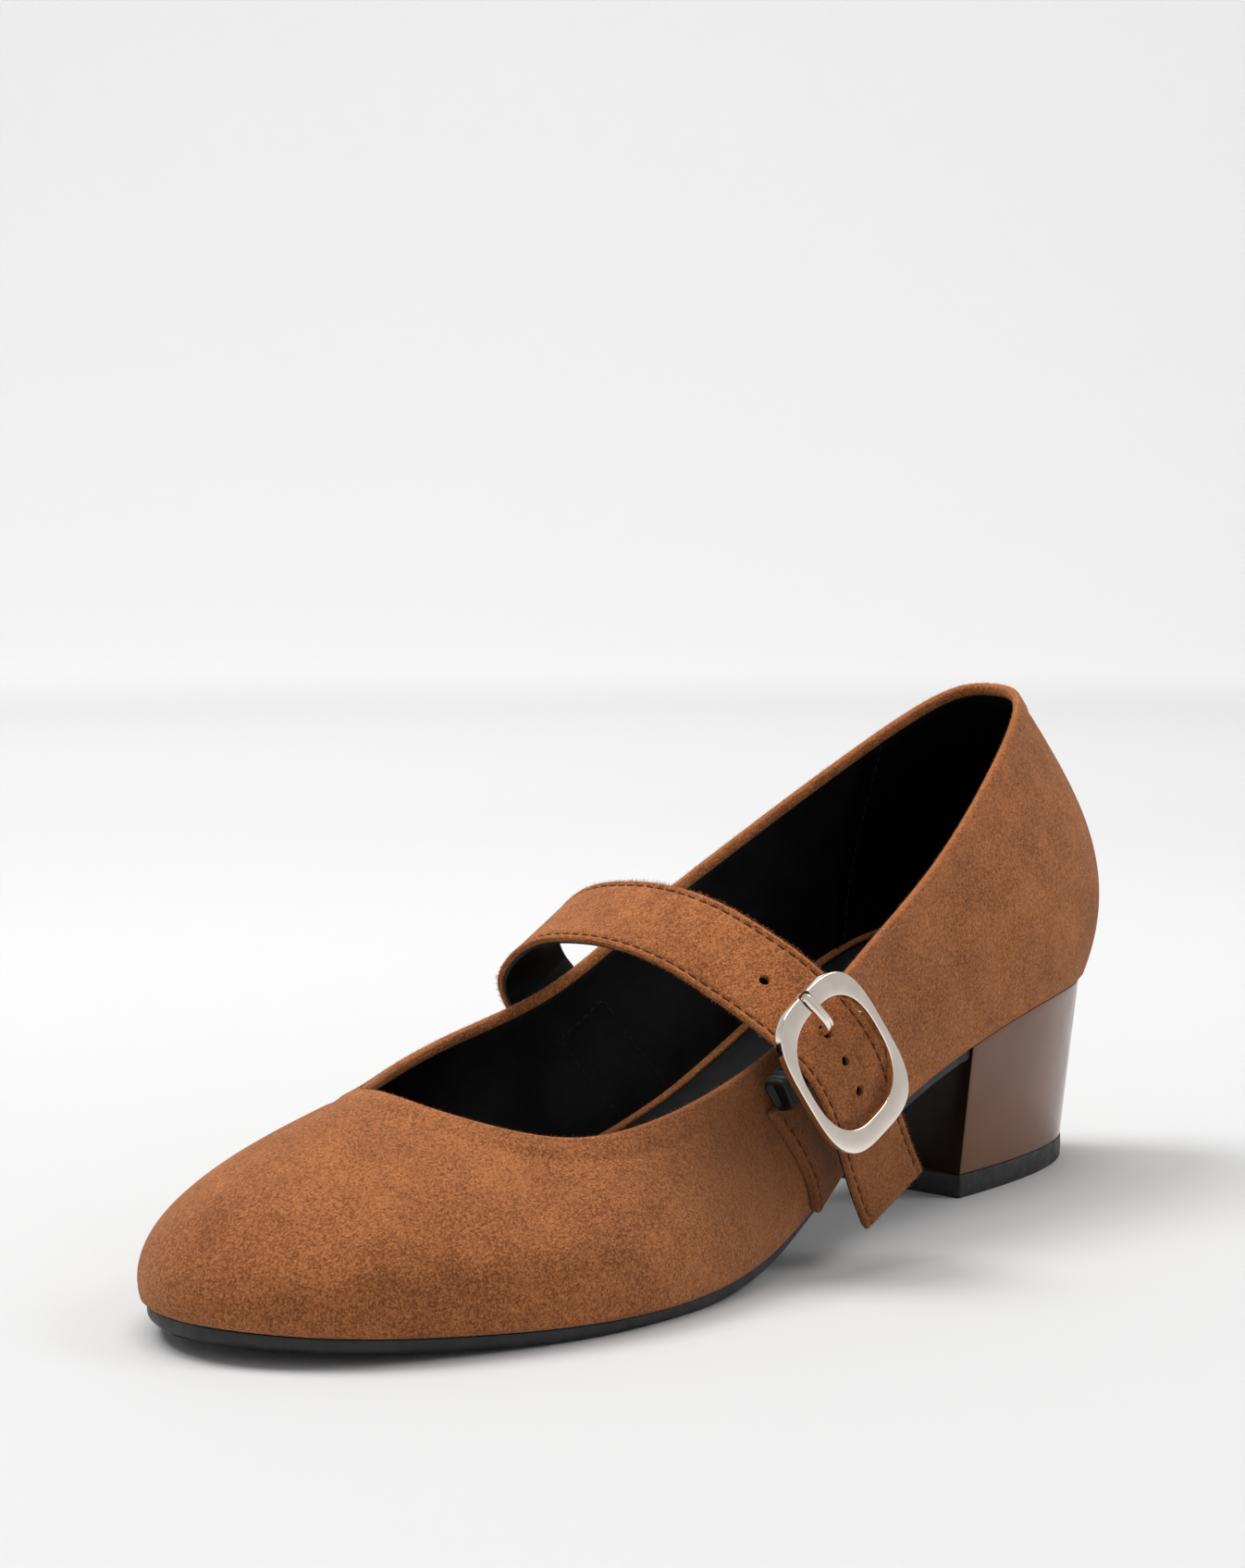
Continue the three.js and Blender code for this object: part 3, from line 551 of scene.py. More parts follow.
def round_section(radius, sides=20):
    g = np.arange(sides) / sides * 2 * math.pi
    return radius * np.stack([np.cos(g), np.sin(g)], -1)


def rounded_box_section(wide, high, radius):
    """A rounded rectangle, anticlockwise, centred on zero."""
    pts = []
    for sx, sy, start in CORNERS:
        for k in range(5):
            g = math.radians(start + 90 * k / 4)
            x = sx * (wide / 2 - radius) + radius * math.cos(g)
            pts.append((x, sy * (high / 2 - radius) + radius * math.sin(g)))
    return np.array(pts)


def bake_modifiers(obj):
    """Turns the modified shape into the object's plain mesh."""
    bpy.context.view_layer.update()
    graph = bpy.context.evaluated_depsgraph_get()
    mesh = bpy.data.meshes.new_from_object(obj.evaluated_get(graph))
    old = obj.data
    obj.modifiers.clear()
    obj.data = mesh
    mesh.name = obj.name
    bpy.data.meshes.remove(old)


def combine(obj, others, operation):
    """Cuts the other solids out of obj, or joins them to it, and deletes them."""
    for other in others:
        mod = obj.modifiers.new("combine", "BOOLEAN")
        mod.operation = operation
        mod.solver = "EXACT"
        mod.object = other
    bake_modifiers(obj)
    for other in others:
        mesh = other.data
        bpy.data.objects.remove(other)
        bpy.data.meshes.remove(mesh)


def paint(obj, name, grid, values):
    """Writes values onto the mesh points that came from the grid's places."""
    points = np.round((grid.reshape(-1, 3) + ORIGIN) * MM, 7)
    layer = obj.data.attributes.new(name, "FLOAT", "POINT")
    co = np.empty(len(obj.data.vertices) * 3, np.float32)
    obj.data.vertices.foreach_get("co", co)
    co = co.reshape(-1, 3)
    flat = np.ravel(values).astype(np.float32)
    if len(co) == len(points):
        layer.data.foreach_set("value", flat)
        return
    tree = KDTree(len(points))
    for k, p in enumerate(points):
        tree.insert(p, k)
    tree.balance()
    layer.data.foreach_set("value", [float(flat[tree.find(p)[1]]) for p in co])


def place(obj, slot, *nodes):
    """Rides the piece on the shoe and hides the CAD nodes it stands for; the slot is not used."""
    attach(obj, "root")
    if nodes:
        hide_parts(*nodes)


# ======================= finishes =======================
def new_finish(name):
    """A fresh node material: the material, its tree and its surface shader."""
    material = bpy.data.materials.new(name)
    material.use_nodes = True
    tree = material.node_tree
    return material, tree, tree.nodes["Principled BSDF"]


def node(tree, kind, inputs=None, **settings):
    """Adds a node, sets its options and fills or links its inputs."""
    made = tree.nodes.new(kind)
    for key, value in settings.items():
        setattr(made, key, value)
    for key, value in (inputs or {}).items():
        fill(tree, made.inputs[key], value)
    return made


def fill(tree, socket, value):
    """Links a socket's value, or sets it; a bare colour gets its fourth number."""
    if isinstance(value, bpy.types.NodeSocket):
        tree.links.new(value, socket)
    elif socket.type == "RGBA":
        socket.default_value = tuple(value)[:3] + (1.0,)
    else:
        socket.default_value = value


def result(tree, kind, inputs=None, **settings):
    """The first output of a new node."""
    return node(tree, kind, inputs, **settings).outputs[0]


def place_of(tree):
    return node(tree, "ShaderNodeTexCoord").outputs["Object"]


def noise(tree, scale, detail=3.0, rough=0.55):
    """Cloudy noise; one unit of scale is one wave in a metre."""
    wave = {"Vector": place_of(tree), "Scale": scale, "Detail": detail, "Roughness": rough}
    return node(tree, "ShaderNodeTexNoise", wave).outputs["Fac"]


def spread(tree, value, lo, hi, to_lo=0.0, to_hi=1.0):
    """Stretches value from lo..hi to to_lo..to_hi, softly at both ends."""
    ends = {"Value": value, "From Min": lo, "From Max": hi, "To Min": to_lo, "To Max": to_hi}
    made = node(tree, "ShaderNodeMapRange", ends, interpolation_type="SMOOTHSTEP")
    return made.outputs["Result"]


def mix(tree, factor, a, b):
    """Mixes two colours."""
    return node(tree, "ShaderNodeMix", {0: factor, 6: a, 7: b}, data_type="RGBA").outputs[2]


def calculate(tree, operation, a, b):
    return result(tree, "ShaderNodeMath", {0: a, 1: b}, operation=operation)


def sums(tree, *terms):
    """Adds weighted values: each term is (value, weight)."""
    parts = [calculate(tree, "MULTIPLY", value, weight) for value, weight in terms]
    total = parts[0]
    for part in parts[1:]:
        total = calculate(tree, "ADD", total, part)
    return total


def bump(tree, shader, height, distance, strength=1.0):
    """Raises the surface by height times distance, in metres."""
    inputs = {"Height": height, "Distance": distance, "Strength": strength}
    made = node(tree, "ShaderNodeBump", inputs)
    tree.links.new(made.outputs["Normal"], shader.inputs["Normal"])


def attribute(tree, name, strength):
    """A painted attribute from 0 to 1, as strongly as it should tell."""
    painted = node(tree, "ShaderNodeAttribute", attribute_name=name).outputs["Fac"]
    return spread(tree, painted, 0.0, 1.0, 0.0, strength)


def dress_shader(tree, shader, values):
    for socket, value in values.items():
        fill(tree, shader.inputs[socket], value)


def shade(colour, factor):
    return tuple(min(1.0, c * factor) for c in colour[:3])


def tint(colour, factors):
    return tuple(min(1.0, c * factor) for c, factor in zip(colour, factors))


def suede_finish(name, colour, nap_scale=1.0, darker=1.0):
    """Brushed microfibre suede: nap patches, mottled grain, paler worn edges with a painted
    highlight, and painted shade with brushed-down nap.
    """
    material, tree, shader = new_finish(name)
    colour = shade(colour, darker)
    patches = noise(tree, 46 * nap_scale, 3.0, 0.6)
    brushed = noise(tree, 170 * nap_scale, 4.0, 0.65)
    mottle = noise(tree, 1350, 3.0, 0.65)
    grain = noise(tree, 2500, 2.0, 0.7)
    deep = tint(colour, (0.52, 0.46, 0.42))
    pale = tint(colour, (1.62, 1.78, 1.95))
    tone = sums(tree, (patches, 0.16), (brushed, 0.11), (mottle, 0.26), (grain, 0.47))
    base = mix(tree, spread(tree, tone, 0.38, 0.63), deep, pale)
    # worn edges and painted highlight: the colour turns paler where this attribute is painted
    base = mix(tree, attribute(tree, "wear", 0.55), base, shade(pale, 1.05))
    # painted shade, with brushed-down nap on the upper: the colour darkens where this attribute is
    # painted
    base = mix(tree, attribute(tree, "dull", 0.8), base, shade(colour, 0.34))
    surface = {
        "Base Color": base,
        "Roughness": 0.92,
        "Specular IOR Level": 0.18,
        "Sheen Weight": 0.2,
        "Sheen Roughness": 0.45,
        "Sheen Tint": (1.0, 0.72, 0.5),
    }
    dress_shader(tree, shader, surface)
    fibre = noise(tree, 3600, 2.0, 0.5)
    bump(tree, shader, sums(tree, (mottle, 0.8), (grain, 1.0), (fibre, 0.5)), 0.00030)
    return material


def lining_finish(name, colour, rough, grain_scale):
    """Thin black lining leather: fine pebbled grain and a little sheen."""
    material, tree, shader = new_finish(name)
    pebbles = {"Vector": place_of(tree), "Scale": grain_scale, "Randomness": 0.9}
    cells = node(tree, "ShaderNodeTexVoronoi", pebbles, feature="SMOOTH_F1").outputs["Distance"]
    soft = spread(tree, noise(tree, 60, 2.0), 0.35, 0.7)
    tone = mix(tree, soft, shade(colour, 0.7), shade(colour, 1.5))
    worn = spread(tree, noise(tree, 220, 3.0), 0.3, 0.7, rough - 0.06, rough + 0.08)
    surface = {"Base Color": tone, "Roughness": worn, "Specular IOR Level": 0.12}
    dress_shader(tree, shader, surface)
    bump(tree, shader, sums(tree, (cells, 1.0), (noise(tree, 2600), 0.4)), 0.00008, 0.6)
    return material


def cloudy_finish(name, colour, cloud, rough, relief, surface):
    """A finish with a cloudy tone, an even or cloudy roughness and a fine relief.

    cloud: noise scale, detail, low, high, darkest and lightest share of the colour.
    rough: one number, or noise scale, detail, low, high, smoothest and roughest.
    relief: noise scale, detail, depth in metres, strength.
    """
    material, tree, shader = new_finish(name)
    scale, detail, lo, hi, dark, light = cloud
    tone = spread(tree, noise(tree, scale, detail), lo, hi)
    values = {"Base Color": mix(tree, tone, shade(colour, dark), shade(colour, light))}
    if isinstance(rough, tuple):
        scale, detail, lo, hi, smoothest, roughest = rough
        rough = spread(tree, noise(tree, scale, detail), lo, hi, smoothest, roughest)
    dress_shader(tree, shader, values | {"Roughness": rough} | surface)
    scale, detail, depth, strength = relief
    bump(tree, shader, noise(tree, scale, detail), depth, strength)
    return material


SPECULAR = "Specular IOR Level"
LACQUER = (
    (25, 2.0, 0.35, 0.7, 0.85, 1.15),
    (130, 4.0, 0.35, 0.75, 0.16, 0.26),
    (260, 2.0, 0.00003, 0.5),
)
LACQUER_COAT = {"Coat Weight": 0.05, "Coat Roughness": 0.12}
THREAD = ((3000, 2.0, 0.35, 0.65, 0.6, 1.5), 0.75, (3000, 2.0, 0.00006, 0.7), {SPECULAR: 0.15})

# Finish: which colour of the sidebar, its strength, then what cloudy_finish takes.
CLOUDY = {
    "grip": (  # short black pile that swallows light
        "lining",
        0.5,
        (2200, 2.0, 0.35, 0.7, 0.6, 1.6),
        1.0,
        (2200, 2.0, 0.00012, 0.8),
        {SPECULAR: 0.05},
    ),
    "rubber": (  # moulded, a little dusty
        "rubber",
        1.0,
        (90, 4.0, 0.4, 0.75, 1.0, 1.9),
        (400, 3.0, 0.3, 0.7, 0.48, 0.66),
        (1500, 3.0, 0.00006, 0.6),
        {},
    ),
    "heel_gloss": ("heel", 1.0, *LACQUER, LACQUER_COAT | {SPECULAR: 0.28}),
    # painted shade: the breast's lacquer is near black, for the face that turns away from the light
    "heel_breast": ("heel", 0.08, *LACQUER, LACQUER_COAT | {SPECULAR: 0.12}),
    "plated": (  # polished, with faint rubbing marks
        "metal",
        1.0,
        (180, 3.0, 0.35, 0.7, 0.94, 1.04),
        (900, 4.0, 0.35, 0.75, 0.10, 0.19),
        (2400, 2.0, 0.000003, 0.2),
        {"Metallic": 1.0},
    ),
    "thread": ("thread", 1.0, *THREAD),
    "black_thread": ("lining", 2.5, *THREAD),
    "elastic": (  # rubber ribs under a fine weave
        "lining",
        1.0,
        (2600, 2.0, 0.35, 0.7, 0.5, 1.9),
        0.5,
        (2600, 2.0, 0.00008, 0.8),
        {SPECULAR: 0.3},
    ),
}
# Suede: scale of the nap, strength of the colour. Lining: roughness, scale of the grain.
# the strap's suede is a lighter copy of the suede, painted light for its top that faces the light
SUEDES = {"suede": (1.0, 1.0), "suede_strap": (1.6, 1.08), "suede_edge": (1.6, 0.85)}
LININGS = {"lining": (0.5, 1100), "sock": (0.58, 1400)}
FINISHES = {}


def finish(name):
    """The finish of that name, made on first use from the settings in the sidebar."""
    look = bpy.context.scene.pump_look
    if name not in FINISHES and name in SUEDES:
        FINISHES[name] = suede_finish(name, look.suede, *SUEDES[name])
    elif name not in FINISHES and name in LININGS:
        FINISHES[name] = lining_finish(name, look.lining, *LININGS[name])
    elif name not in FINISHES:
        colour, strength, *rows = CLOUDY[name]
        FINISHES[name] = cloudy_finish(name, shade(getattr(look, colour), strength), *rows)
    return FINISHES[name]


# ======================= rows of stitches and fibres, by Geometry Nodes =======================
def row_tree(name, mould, sizes):
    """A node tree that lays a mould's shape at every pitch of a line and gives it a finish."""
    tree = bpy.data.node_groups.new(name, "GeometryNodeTree")
    face = tree.interface
    face.new_socket("Line", in_out="INPUT", socket_type="NodeSocketGeometry")
    for label, value in sizes.items():
        socket = face.new_socket(label, in_out="INPUT", socket_type="NodeSocketFloat")
        socket.default_value = value * MM
        socket.subtype = "DISTANCE"
    face.new_socket("Finish", in_out="INPUT", socket_type="NodeSocketMaterial")
    face.new_socket("Row", in_out="OUTPUT", socket_type="NodeSocketGeometry")
    given = tree.nodes.new("NodeGroupInput").outputs
    curve = result(tree, "GeometryNodeMeshToCurve", {"Mesh": given["Line"]})
    spacing = {"Curve": curve, "Length": given["Pitch"]}
    points = result(tree, "GeometryNodeResampleCurve", spacing, mode="LENGTH")
    kind = "GeometryNodeInputNamedAttribute"
    lie = result(tree, kind, {"Name": "lie"}, data_type="FLOAT_VECTOR")
    copies = {"Points": points} | mould(tree, given, lie)
    laid = result(tree, "GeometryNodeInstanceOnPoints", copies)
    real = result(tree, "GeometryNodeRealizeInstances", {"Geometry": laid})
    finished = {"Geometry": real, "Material": given["Finish"]}
    dressed = result(tree, "GeometryNodeSetMaterial", finished)
    tree.links.new(dressed, tree.nodes.new("NodeGroupOutput").inputs["Row"])
    return tree


def stitch_mould(tree, given, lie):
    """A bead of thread, turned along the line and flat on its face."""
    bead = result(tree, "GeometryNodeMeshUVSphere", {"Segments": 8, "Rings": 6, "Radius": 0.5})
    axes = {"Primary Axis": result(tree, "GeometryNodeInputTangent"), "Secondary Axis": lie}
    kind = "FunctionNodeAxesToRotation"
    size = {"X": given["Length"], "Y": given["Width"], "Z": given["Height"]}
    return {
        "Instance": result(tree, "GeometryNodeSetShadeSmooth", {"Geometry": bead}),
        "Rotation": result(tree, kind, axes, primary_axis="X", secondary_axis="Z"),
        "Scale": result(tree, "ShaderNodeCombineXYZ", size),
    }


def any_way(tree, reach, seed):
    """A vector that differs at every point, each part of it between -reach and reach."""
    ends = {0: (-reach,) * 3, 1: (reach,) * 3, "Seed": seed}
    return result(tree, "FunctionNodeRandomValue", ends, data_type="FLOAT_VECTOR")


def fibre_mould(tree, given, lie):
    """A short bent fibre, each leaning its own way and of its own length."""
    arc = {"Resolution": 3, "Start": (0, 0, -0.2), "Middle": (0, 0, 0.5), "End": (0.4, 0, 0.9)}
    bend = result(tree, "GeometryNodeCurveQuadraticBezier", arc)
    wire = result(tree, "GeometryNodeCurvePrimitiveCircle", {"Resolution": 3, "Radius": 0.045})
    solid = {"Curve": bend, "Profile Curve": wire, "Fill Caps": True}
    lean = {0: lie, 1: any_way(tree, 0.9, 4)}
    lean = result(tree, "ShaderNodeVectorMath", lean, operation="ADD")
    axes = {"Primary Axis": lean, "Secondary Axis": any_way(tree, 1, 9)}
    kind = "FunctionNodeAxesToRotation"
    share = {2: 0.35, 3: 1.25, "Seed": 2}
    uneven = node(tree, "FunctionNodeRandomValue", share, data_type="FLOAT").outputs[1]
    return {
        "Instance": result(tree, "GeometryNodeCurveToMesh", solid),
        "Rotation": result(tree, kind, axes, primary_axis="Z", secondary_axis="X"),
        "Scale": calculate(tree, "MULTIPLY", uneven, given["Length"]),
    }


# Node tree: its mould and its sizes in millimetres, until a modifier states others.
ROWS = {
    "stitch_row": (stitch_mould, {"Pitch": 2.5, "Length": 1.9, "Width": 0.5, "Height": 0.4}),
    "fibre_fringe": (fibre_mould, {"Pitch": 0.15, "Length": 0.6}),
}


def line_object(name, lines):
    """Loose lines with the way each point faces, for the node trees to dress."""
    verts, lies, edges = [], [], []
    for points, normals in lines:
        start = len(verts)
        verts += ((np.asarray(points) + ORIGIN) * MM).tolist()
        lies += np.asarray(normals, float).tolist()
        edges += [(start + k, start + k + 1) for k in range(len(points) - 1)]
    mesh = bpy.data.meshes.new(name)
    mesh.from_pydata(verts, edges, [])
    lie = mesh.attributes.new("lie", "FLOAT_VECTOR", "POINT")
    lie.data.foreach_set("vector", np.ravel(lies))
    return link_object(name, mesh)


def dress(name, lines, kind, material, **sizes):
    """Runs a node tree on the lines and keeps the result as a plain mesh."""
    tree = bpy.data.node_groups.get(kind) or row_tree(kind, *ROWS[kind])
    obj = line_object(name, lines)
    mod = obj.modifiers.new(tree.name, "NODES")
    mod.node_group = tree
    given = {label: value * MM for label, value in sizes.items()} | {"Finish": finish(material)}
    for item in tree.interface.items_tree:
        if item.in_out == "INPUT" and item.name in given:
            mod[item.identifier] = given[item.name]
    bake_modifiers(obj)
    if not obj.data.polygons:
        raise RuntimeError(obj.name + ": the node tree made nothing")
    return obj


def sew(name, lines, thread, pitch, length, width):
    """One piece of stitches from seam lines, each a pair of points and face normals."""
    sizes = {"Pitch": pitch, "Length": length, "Width": width, "Height": width * 0.8}
    return dress(name, lines, "stitch_row", thread, **sizes)


def fringe(name, lines, material, pitch, length):
    return dress(name, lines, "fibre_fringe", material, Pitch=pitch, Length=length)


# ======================= the upper =======================
def skin(t, s):
    """The upper's outer face with its creases, back seam and soft folded edge."""
    p, n = upper_point(t, s), upper_normal(t, s)
    below = (1 - s) * 3 * UPPER(t)[..., 8]
    above = s * 3 * UPPER(t)[..., 6]
    fold = 0.22 * smooth(below, -1, 1.0) * (1 - smooth(below, 3.2, 5.0))
    fold -= 0.16 * bell(below - 5.2, 0.8)
    off_seam = ((np.asarray(t) + ROUND / 2) % ROUND - ROUND / 2) * STATION_MM
    seam = 0.38 * bell(off_seam, 0.45) - 0.12 * bell(off_seam, 2.2)
    tuck = 0.55 * (1 - smooth(above, 0, 1.4)) ** 2
    push = fold - seam - tuck - crease_depth(p) * smooth(below, 0.5, 4) * smooth(above, 0, 4)
    return p + n * push[..., None], n


def round_stations():
    """Places round the foot, closer together at the back seam."""
    even = np.arange(420) / 420 * ROUND
    seam = np.linspace(-0.16, 0.16, 33)
    places = np.concatenate([even[(even > 0.17) & (even < ROUND - 0.17)], seam % ROUND])
    return np.sort(places)


def folded_rim(t):
    """The rolled topline: its middle line, the way out and the way up."""
    top = rise_at(t, RIM_BELOW)
    base, n = skin(t, top)
    return base - n * RIM_HALF, n, up_wall(t, top)


def make_upper_suede():
    """Suede outside, rolled over the topline and turned in, as one closed shell."""
    t = round_stations()
    climb = 1 - (1 - np.linspace(0, 1, 54)) ** 1.15
    top = rise_at(t, RIM_BELOW)
    rows = [(skin(t, f * top)[0], 0.10 * f**8) for f in climb]
    centre, n, up = folded_rim(t)
    for k in range(1, 12):
        g = math.pi * k / 12
        roll = centre + RIM_HALF * (n * math.cos(g) + up * math.sin(g))
        rows.append((roll, 0.55 * math.sin(g)))
    turned_in = ((RIM_BELOW, WALL), (1.5, WALL), (FOLD + 0.4, WALL - 0.1), (FOLD_END, SUEDE))
    rows += [(inside_wall(t, rise_at(t, below), inset), 0.12) for below, inset in turned_in]
    back = np.linspace(0.9, 0, 14)
    rows += [(inside_wall(t, rise_at(t, FOLD_END) * f, SUEDE), 0.0) for f in back]
    points, wear = zip(*rows)
    grid = np.stack(points, 1)
    obj = ring_solid("upper_suede", grid, [finish("suede")])
    # worn edges and painted highlight: paler towards the top of the wall, palest on top of the
    # rolled rim
    paint(obj, "wear", grid, np.broadcast_to(wear, grid.shape[:2]))
    # painted shade and brushed-down nap: the quarter beside the tab is painted darker
    away = np.linalg.norm(grid - np.array(SHADE_AND_NAP_SPOT), axis=-1)
    paint(obj, "dull", grid, 0.8 * bell(away, SHADE_AND_NAP_REACH))
    return obj


def rim_lines():
    """Lines on the folded topline where loose nap shows."""
    centre, n, up = folded_rim(np.append(round_stations(), ROUND))
    lines = []
    for g in (0.25, 0.5, 0.75):
        face = n * math.cos(math.pi * g) + up * math.sin(math.pi * g)
        lines.append((centre + RIM_HALF * face, face))
    return lines


def make_lining():
    """The black lining, a thin layer inside the wall with a rounded top edge."""
    t = np.arange(300) / 300 * ROUND
    top = rise_at(t, FOLD)
    climb = np.linspace(0, 1, 30)
    half = (LINING_IN - LINING_OUT) / 2
    centre = inside_wall(t, top, (LINING_OUT + LINING_IN) / 2)
    n, up = upper_normal(t, top), up_wall(t, top)
    rows = [inside_wall(t, top * f, LINING_IN) for f in climb]
    for k in range(1, 6):
        g = math.pi * k / 6
        rows.append(centre + half * (up * math.sin(g) - n * math.cos(g)))
    rows += [inside_wall(t, top * f, LINING_OUT) for f in climb[::-2]]
    return ring_solid("upper_lining", np.stack(rows, 1), [finish("lining")])


def grip_reach(s):
    return GRIP_TOP + (GRIP_FOOT - GRIP_TOP) * (1 - s) ** 1.1


def make_heel_grip():
    """The matt heel grip, sewn over the lining round the back."""
    f, s = np.meshgrid(np.linspace(-1, 1, 150), np.linspace(0.02, 0.965, 34), indexing="ij")
    t = f * grip_reach(s)
    thick = GRIP_THICK * np.minimum(1, (1 - np.abs(f)) / 0.02) ** 0.5
    thick = np.maximum(thick * np.minimum(1, (0.985 - s) / 0.03), 0.05)
    face = inside_wall(t, s, (LINING_IN + thick)[..., None])
    back = inside_wall(t, s, WALL - 0.1)[:, ::-1]
    return bar_solid("heel_grip", np.concatenate([face, back], 1), [finish("grip")])


def grip_seam(side):
    """The seam down one end of the heel grip."""
    s = np.linspace(0.03, 0.955, 60)
    t = side * (grip_reach(s) - 0.09)
    return inside_wall(t, s, WALL + 0.5), -upper_normal(t, s)


def box_seam():
    """The seam that holds the strap's end, seen on the medial lining."""
    x, z = [], []
    for (ax, az), (bx, bz) in zip(BOX_SEAM, BOX_SEAM[1:]):
        f = np.arange(12) / 12
        x += list(ax + (bx - ax) * f)
        z += list(az + (bz - az) * f)
    x, z = np.array(x), np.array(z)
    y = wall_y(x, z, -1) + WALL + 0.12
    return np.stack([x, y, z], -1), np.tile([0.0, 1.0, 0.15], (len(x), 1))


# ======================= insole, sole and heel =======================
def plan_loop(edges, xs, cut_points=0):
    """The outline through stations xs: lateral out, medial back, then across the cut end."""
    lat, med = (edge_at(e, xs) for e in edges)
    f = np.linspace(0, 1, cut_points + 2)[1:-1, None]
    return np.vstack([lat, med[::-1], med[0] * (1 - f) + lat[0] * f])


def loop_normals(loop):
    d = np.roll(loop, -1, 0) - np.roll(loop, 1, 0)
    return unit(np.stack([-d[:, 1], d[:, 0], 0 * d[:, 0]], -1))


def plate(name, edges, loop, spine_x, layers, material):
    """A closed plate from an outline. layers: (inset, blend to the spine, height function).

    The spine is held between two stations, so the plate's ends can fan out.
    """
    normal = loop_normals(loop)
    lat, med = (edge_at(e, np.clip(loop[:, 0], *spine_x)) for e in edges)
    middle = (lat + med) / 2
    if np.sign((normal[5] * (loop[5] - middle[5])).sum()) < 0:
        normal = -normal
    rows = []
    for inset, blend, height in layers:
        p = loop - normal * inset
        p = p * (1 - blend) + middle * blend
        p[:, 2] = height(p[:, 0], p[:, 1])
        rows.append(p)
    grid = np.stack(rows, 1)
    faces = ring_faces(*grid.shape[:2], close_m=False)
    return make_object(name, grid, faces, [finish(material)], merge=0.01)


def plate_layers(top, bottom, radius_top, radius_bottom):
    """The rings of a plate from the top's middle over its rounded rim to the underside."""
    blends = (0.12, 0.3, 0.5, 0.75, 1.0)
    quarter = [math.radians(22.5 * k) for k in range(5)]
    rows = [(radius_top, b, top) for b in blends[::-1]]
    rims = ((top, radius_top, -1, quarter[::-1]), (bottom, radius_bottom, 1, quarter))
    for face, radius, way, angles in rims:
        for g in angles:
            inset = radius * (1 - math.cos(g))
            shift = way * radius * (1 - math.sin(g))
            rows.append((inset, 0.0, lambda x, y, face=face, by=shift: face(x, y) + by))
    return rows + [(radius_bottom, b, bottom) for b in blends]


def round_ends(lo, hi, count, at_lo=True, at_hi=True):
    """Stations from lo to hi, closer together at the ends that round off."""
    f = np.arange(count + 1) / count
    if at_lo and at_hi:
        f = (1 - np.cos(np.pi * f)) / 2
    elif at_hi:
        f = np.sin(np.pi / 2 * f)
    else:
        f = 1 - np.cos(np.pi / 2 * f)
    return lo + (hi - lo) * f


def pad_rise(x):
    """How far the padded sock climbs the wall towards the heel."""
    return PAD_HIGH * np.clip((PAD_FROM - x) / 90, 0, None) ** 1.35


def make_insole():
    """The black sock on its board, cupped round the heel."""
    edges = edge_lists(lambda x: WALL + GAP + 0.3 + 0 * x)
    lo, hi = edges[0][0, 0] + TIP, edges[0][-1, 0] - TIP

    def top(x, y):
        z, mid = seat_z(edges, x, y)
        return z + GAP + INSOLE_THICK - 0.8 * mid + pad_rise(x) * (1 - 0.8 * mid)

    def bottom(x, y):
        return seat_z(edges, x, y)[0] + GAP * 0.3

    loop = plan_loop(edges, round_ends(lo, hi, 150))
    layers = plate_layers(top, bottom, 0.7, 0.3)
    return plate("insole_sock", edges, loop, (lo + 18, hi - 26), layers, "sock")


def make_insole_edge():
    """The brown bound edge that shows between the sock and the lining."""
    t = np.arange(420) / 420 * ROUND
    foot = UPPER(t)[:, :3]
    rise = GAP + INSOLE_THICK - 0.1 + pad_rise(foot[:, 0])
    s = np.linspace(0, 0.6, 90)
    climb = upper_point(t[:, None], s[None, :])[..., 2] - foot[:, 2:3]
    at = np.array([np.interp(h, row, s) for h, row in zip(rise, climb)])
    out = unit(upper_normal(t, at) * [1, 1, 0])
    centre = upper_point(t, at) - out * (WALL + 0.9)
    centre[:, 2] = foot[:, 2] + rise
    section = rounded_box_section(2.2, 1.1, 0.45)
    grid = centre[:, None] + section[None, :, 0:1] * out[:, None] + section[None, :, 1:2] * UP
    return ring_solid("insole_edge", grid, [finish("suede_edge")])


def make_outsole():
    """The thin rubber outsole, flat where it treads under the ball."""
    edges = edge_lists(lambda x: 0.8 + 0.4 * smooth(140 - x, 0, 35))
    lo, hi = BREAST_TOP_X + GAP, edges[0][-1, 0] - TIP

    def top(x, y):
        return seat_z(edges, x, y)[0] - 0.03

    def bottom(x, y):
        z, mid = seat_z(edges, x, y)
        return np.maximum(0.0, z - GAP - SOLE_THICK - 0.7 * mid)

    loop = plan_loop(edges, round_ends(lo, hi, 150, at_lo=False), cut_points=12)
    layers = plate_layers(top, bottom, 0.2, 1.1)
    return plate("outsole_rubber", edges, loop, (lo + 16, hi - 26), layers, "rubber")


def heel_outline():
    """The heel's edges at the seat, and stations from the breast back to its tip."""
    edges = edge_lists(lambda x: HEEL_INSET + 0 * x)
    lo = edges[0][0, 0] + TIP
    return edges, round_ends(lo, BREAST_TOP_X, 60, at_hi=False)[::-1]


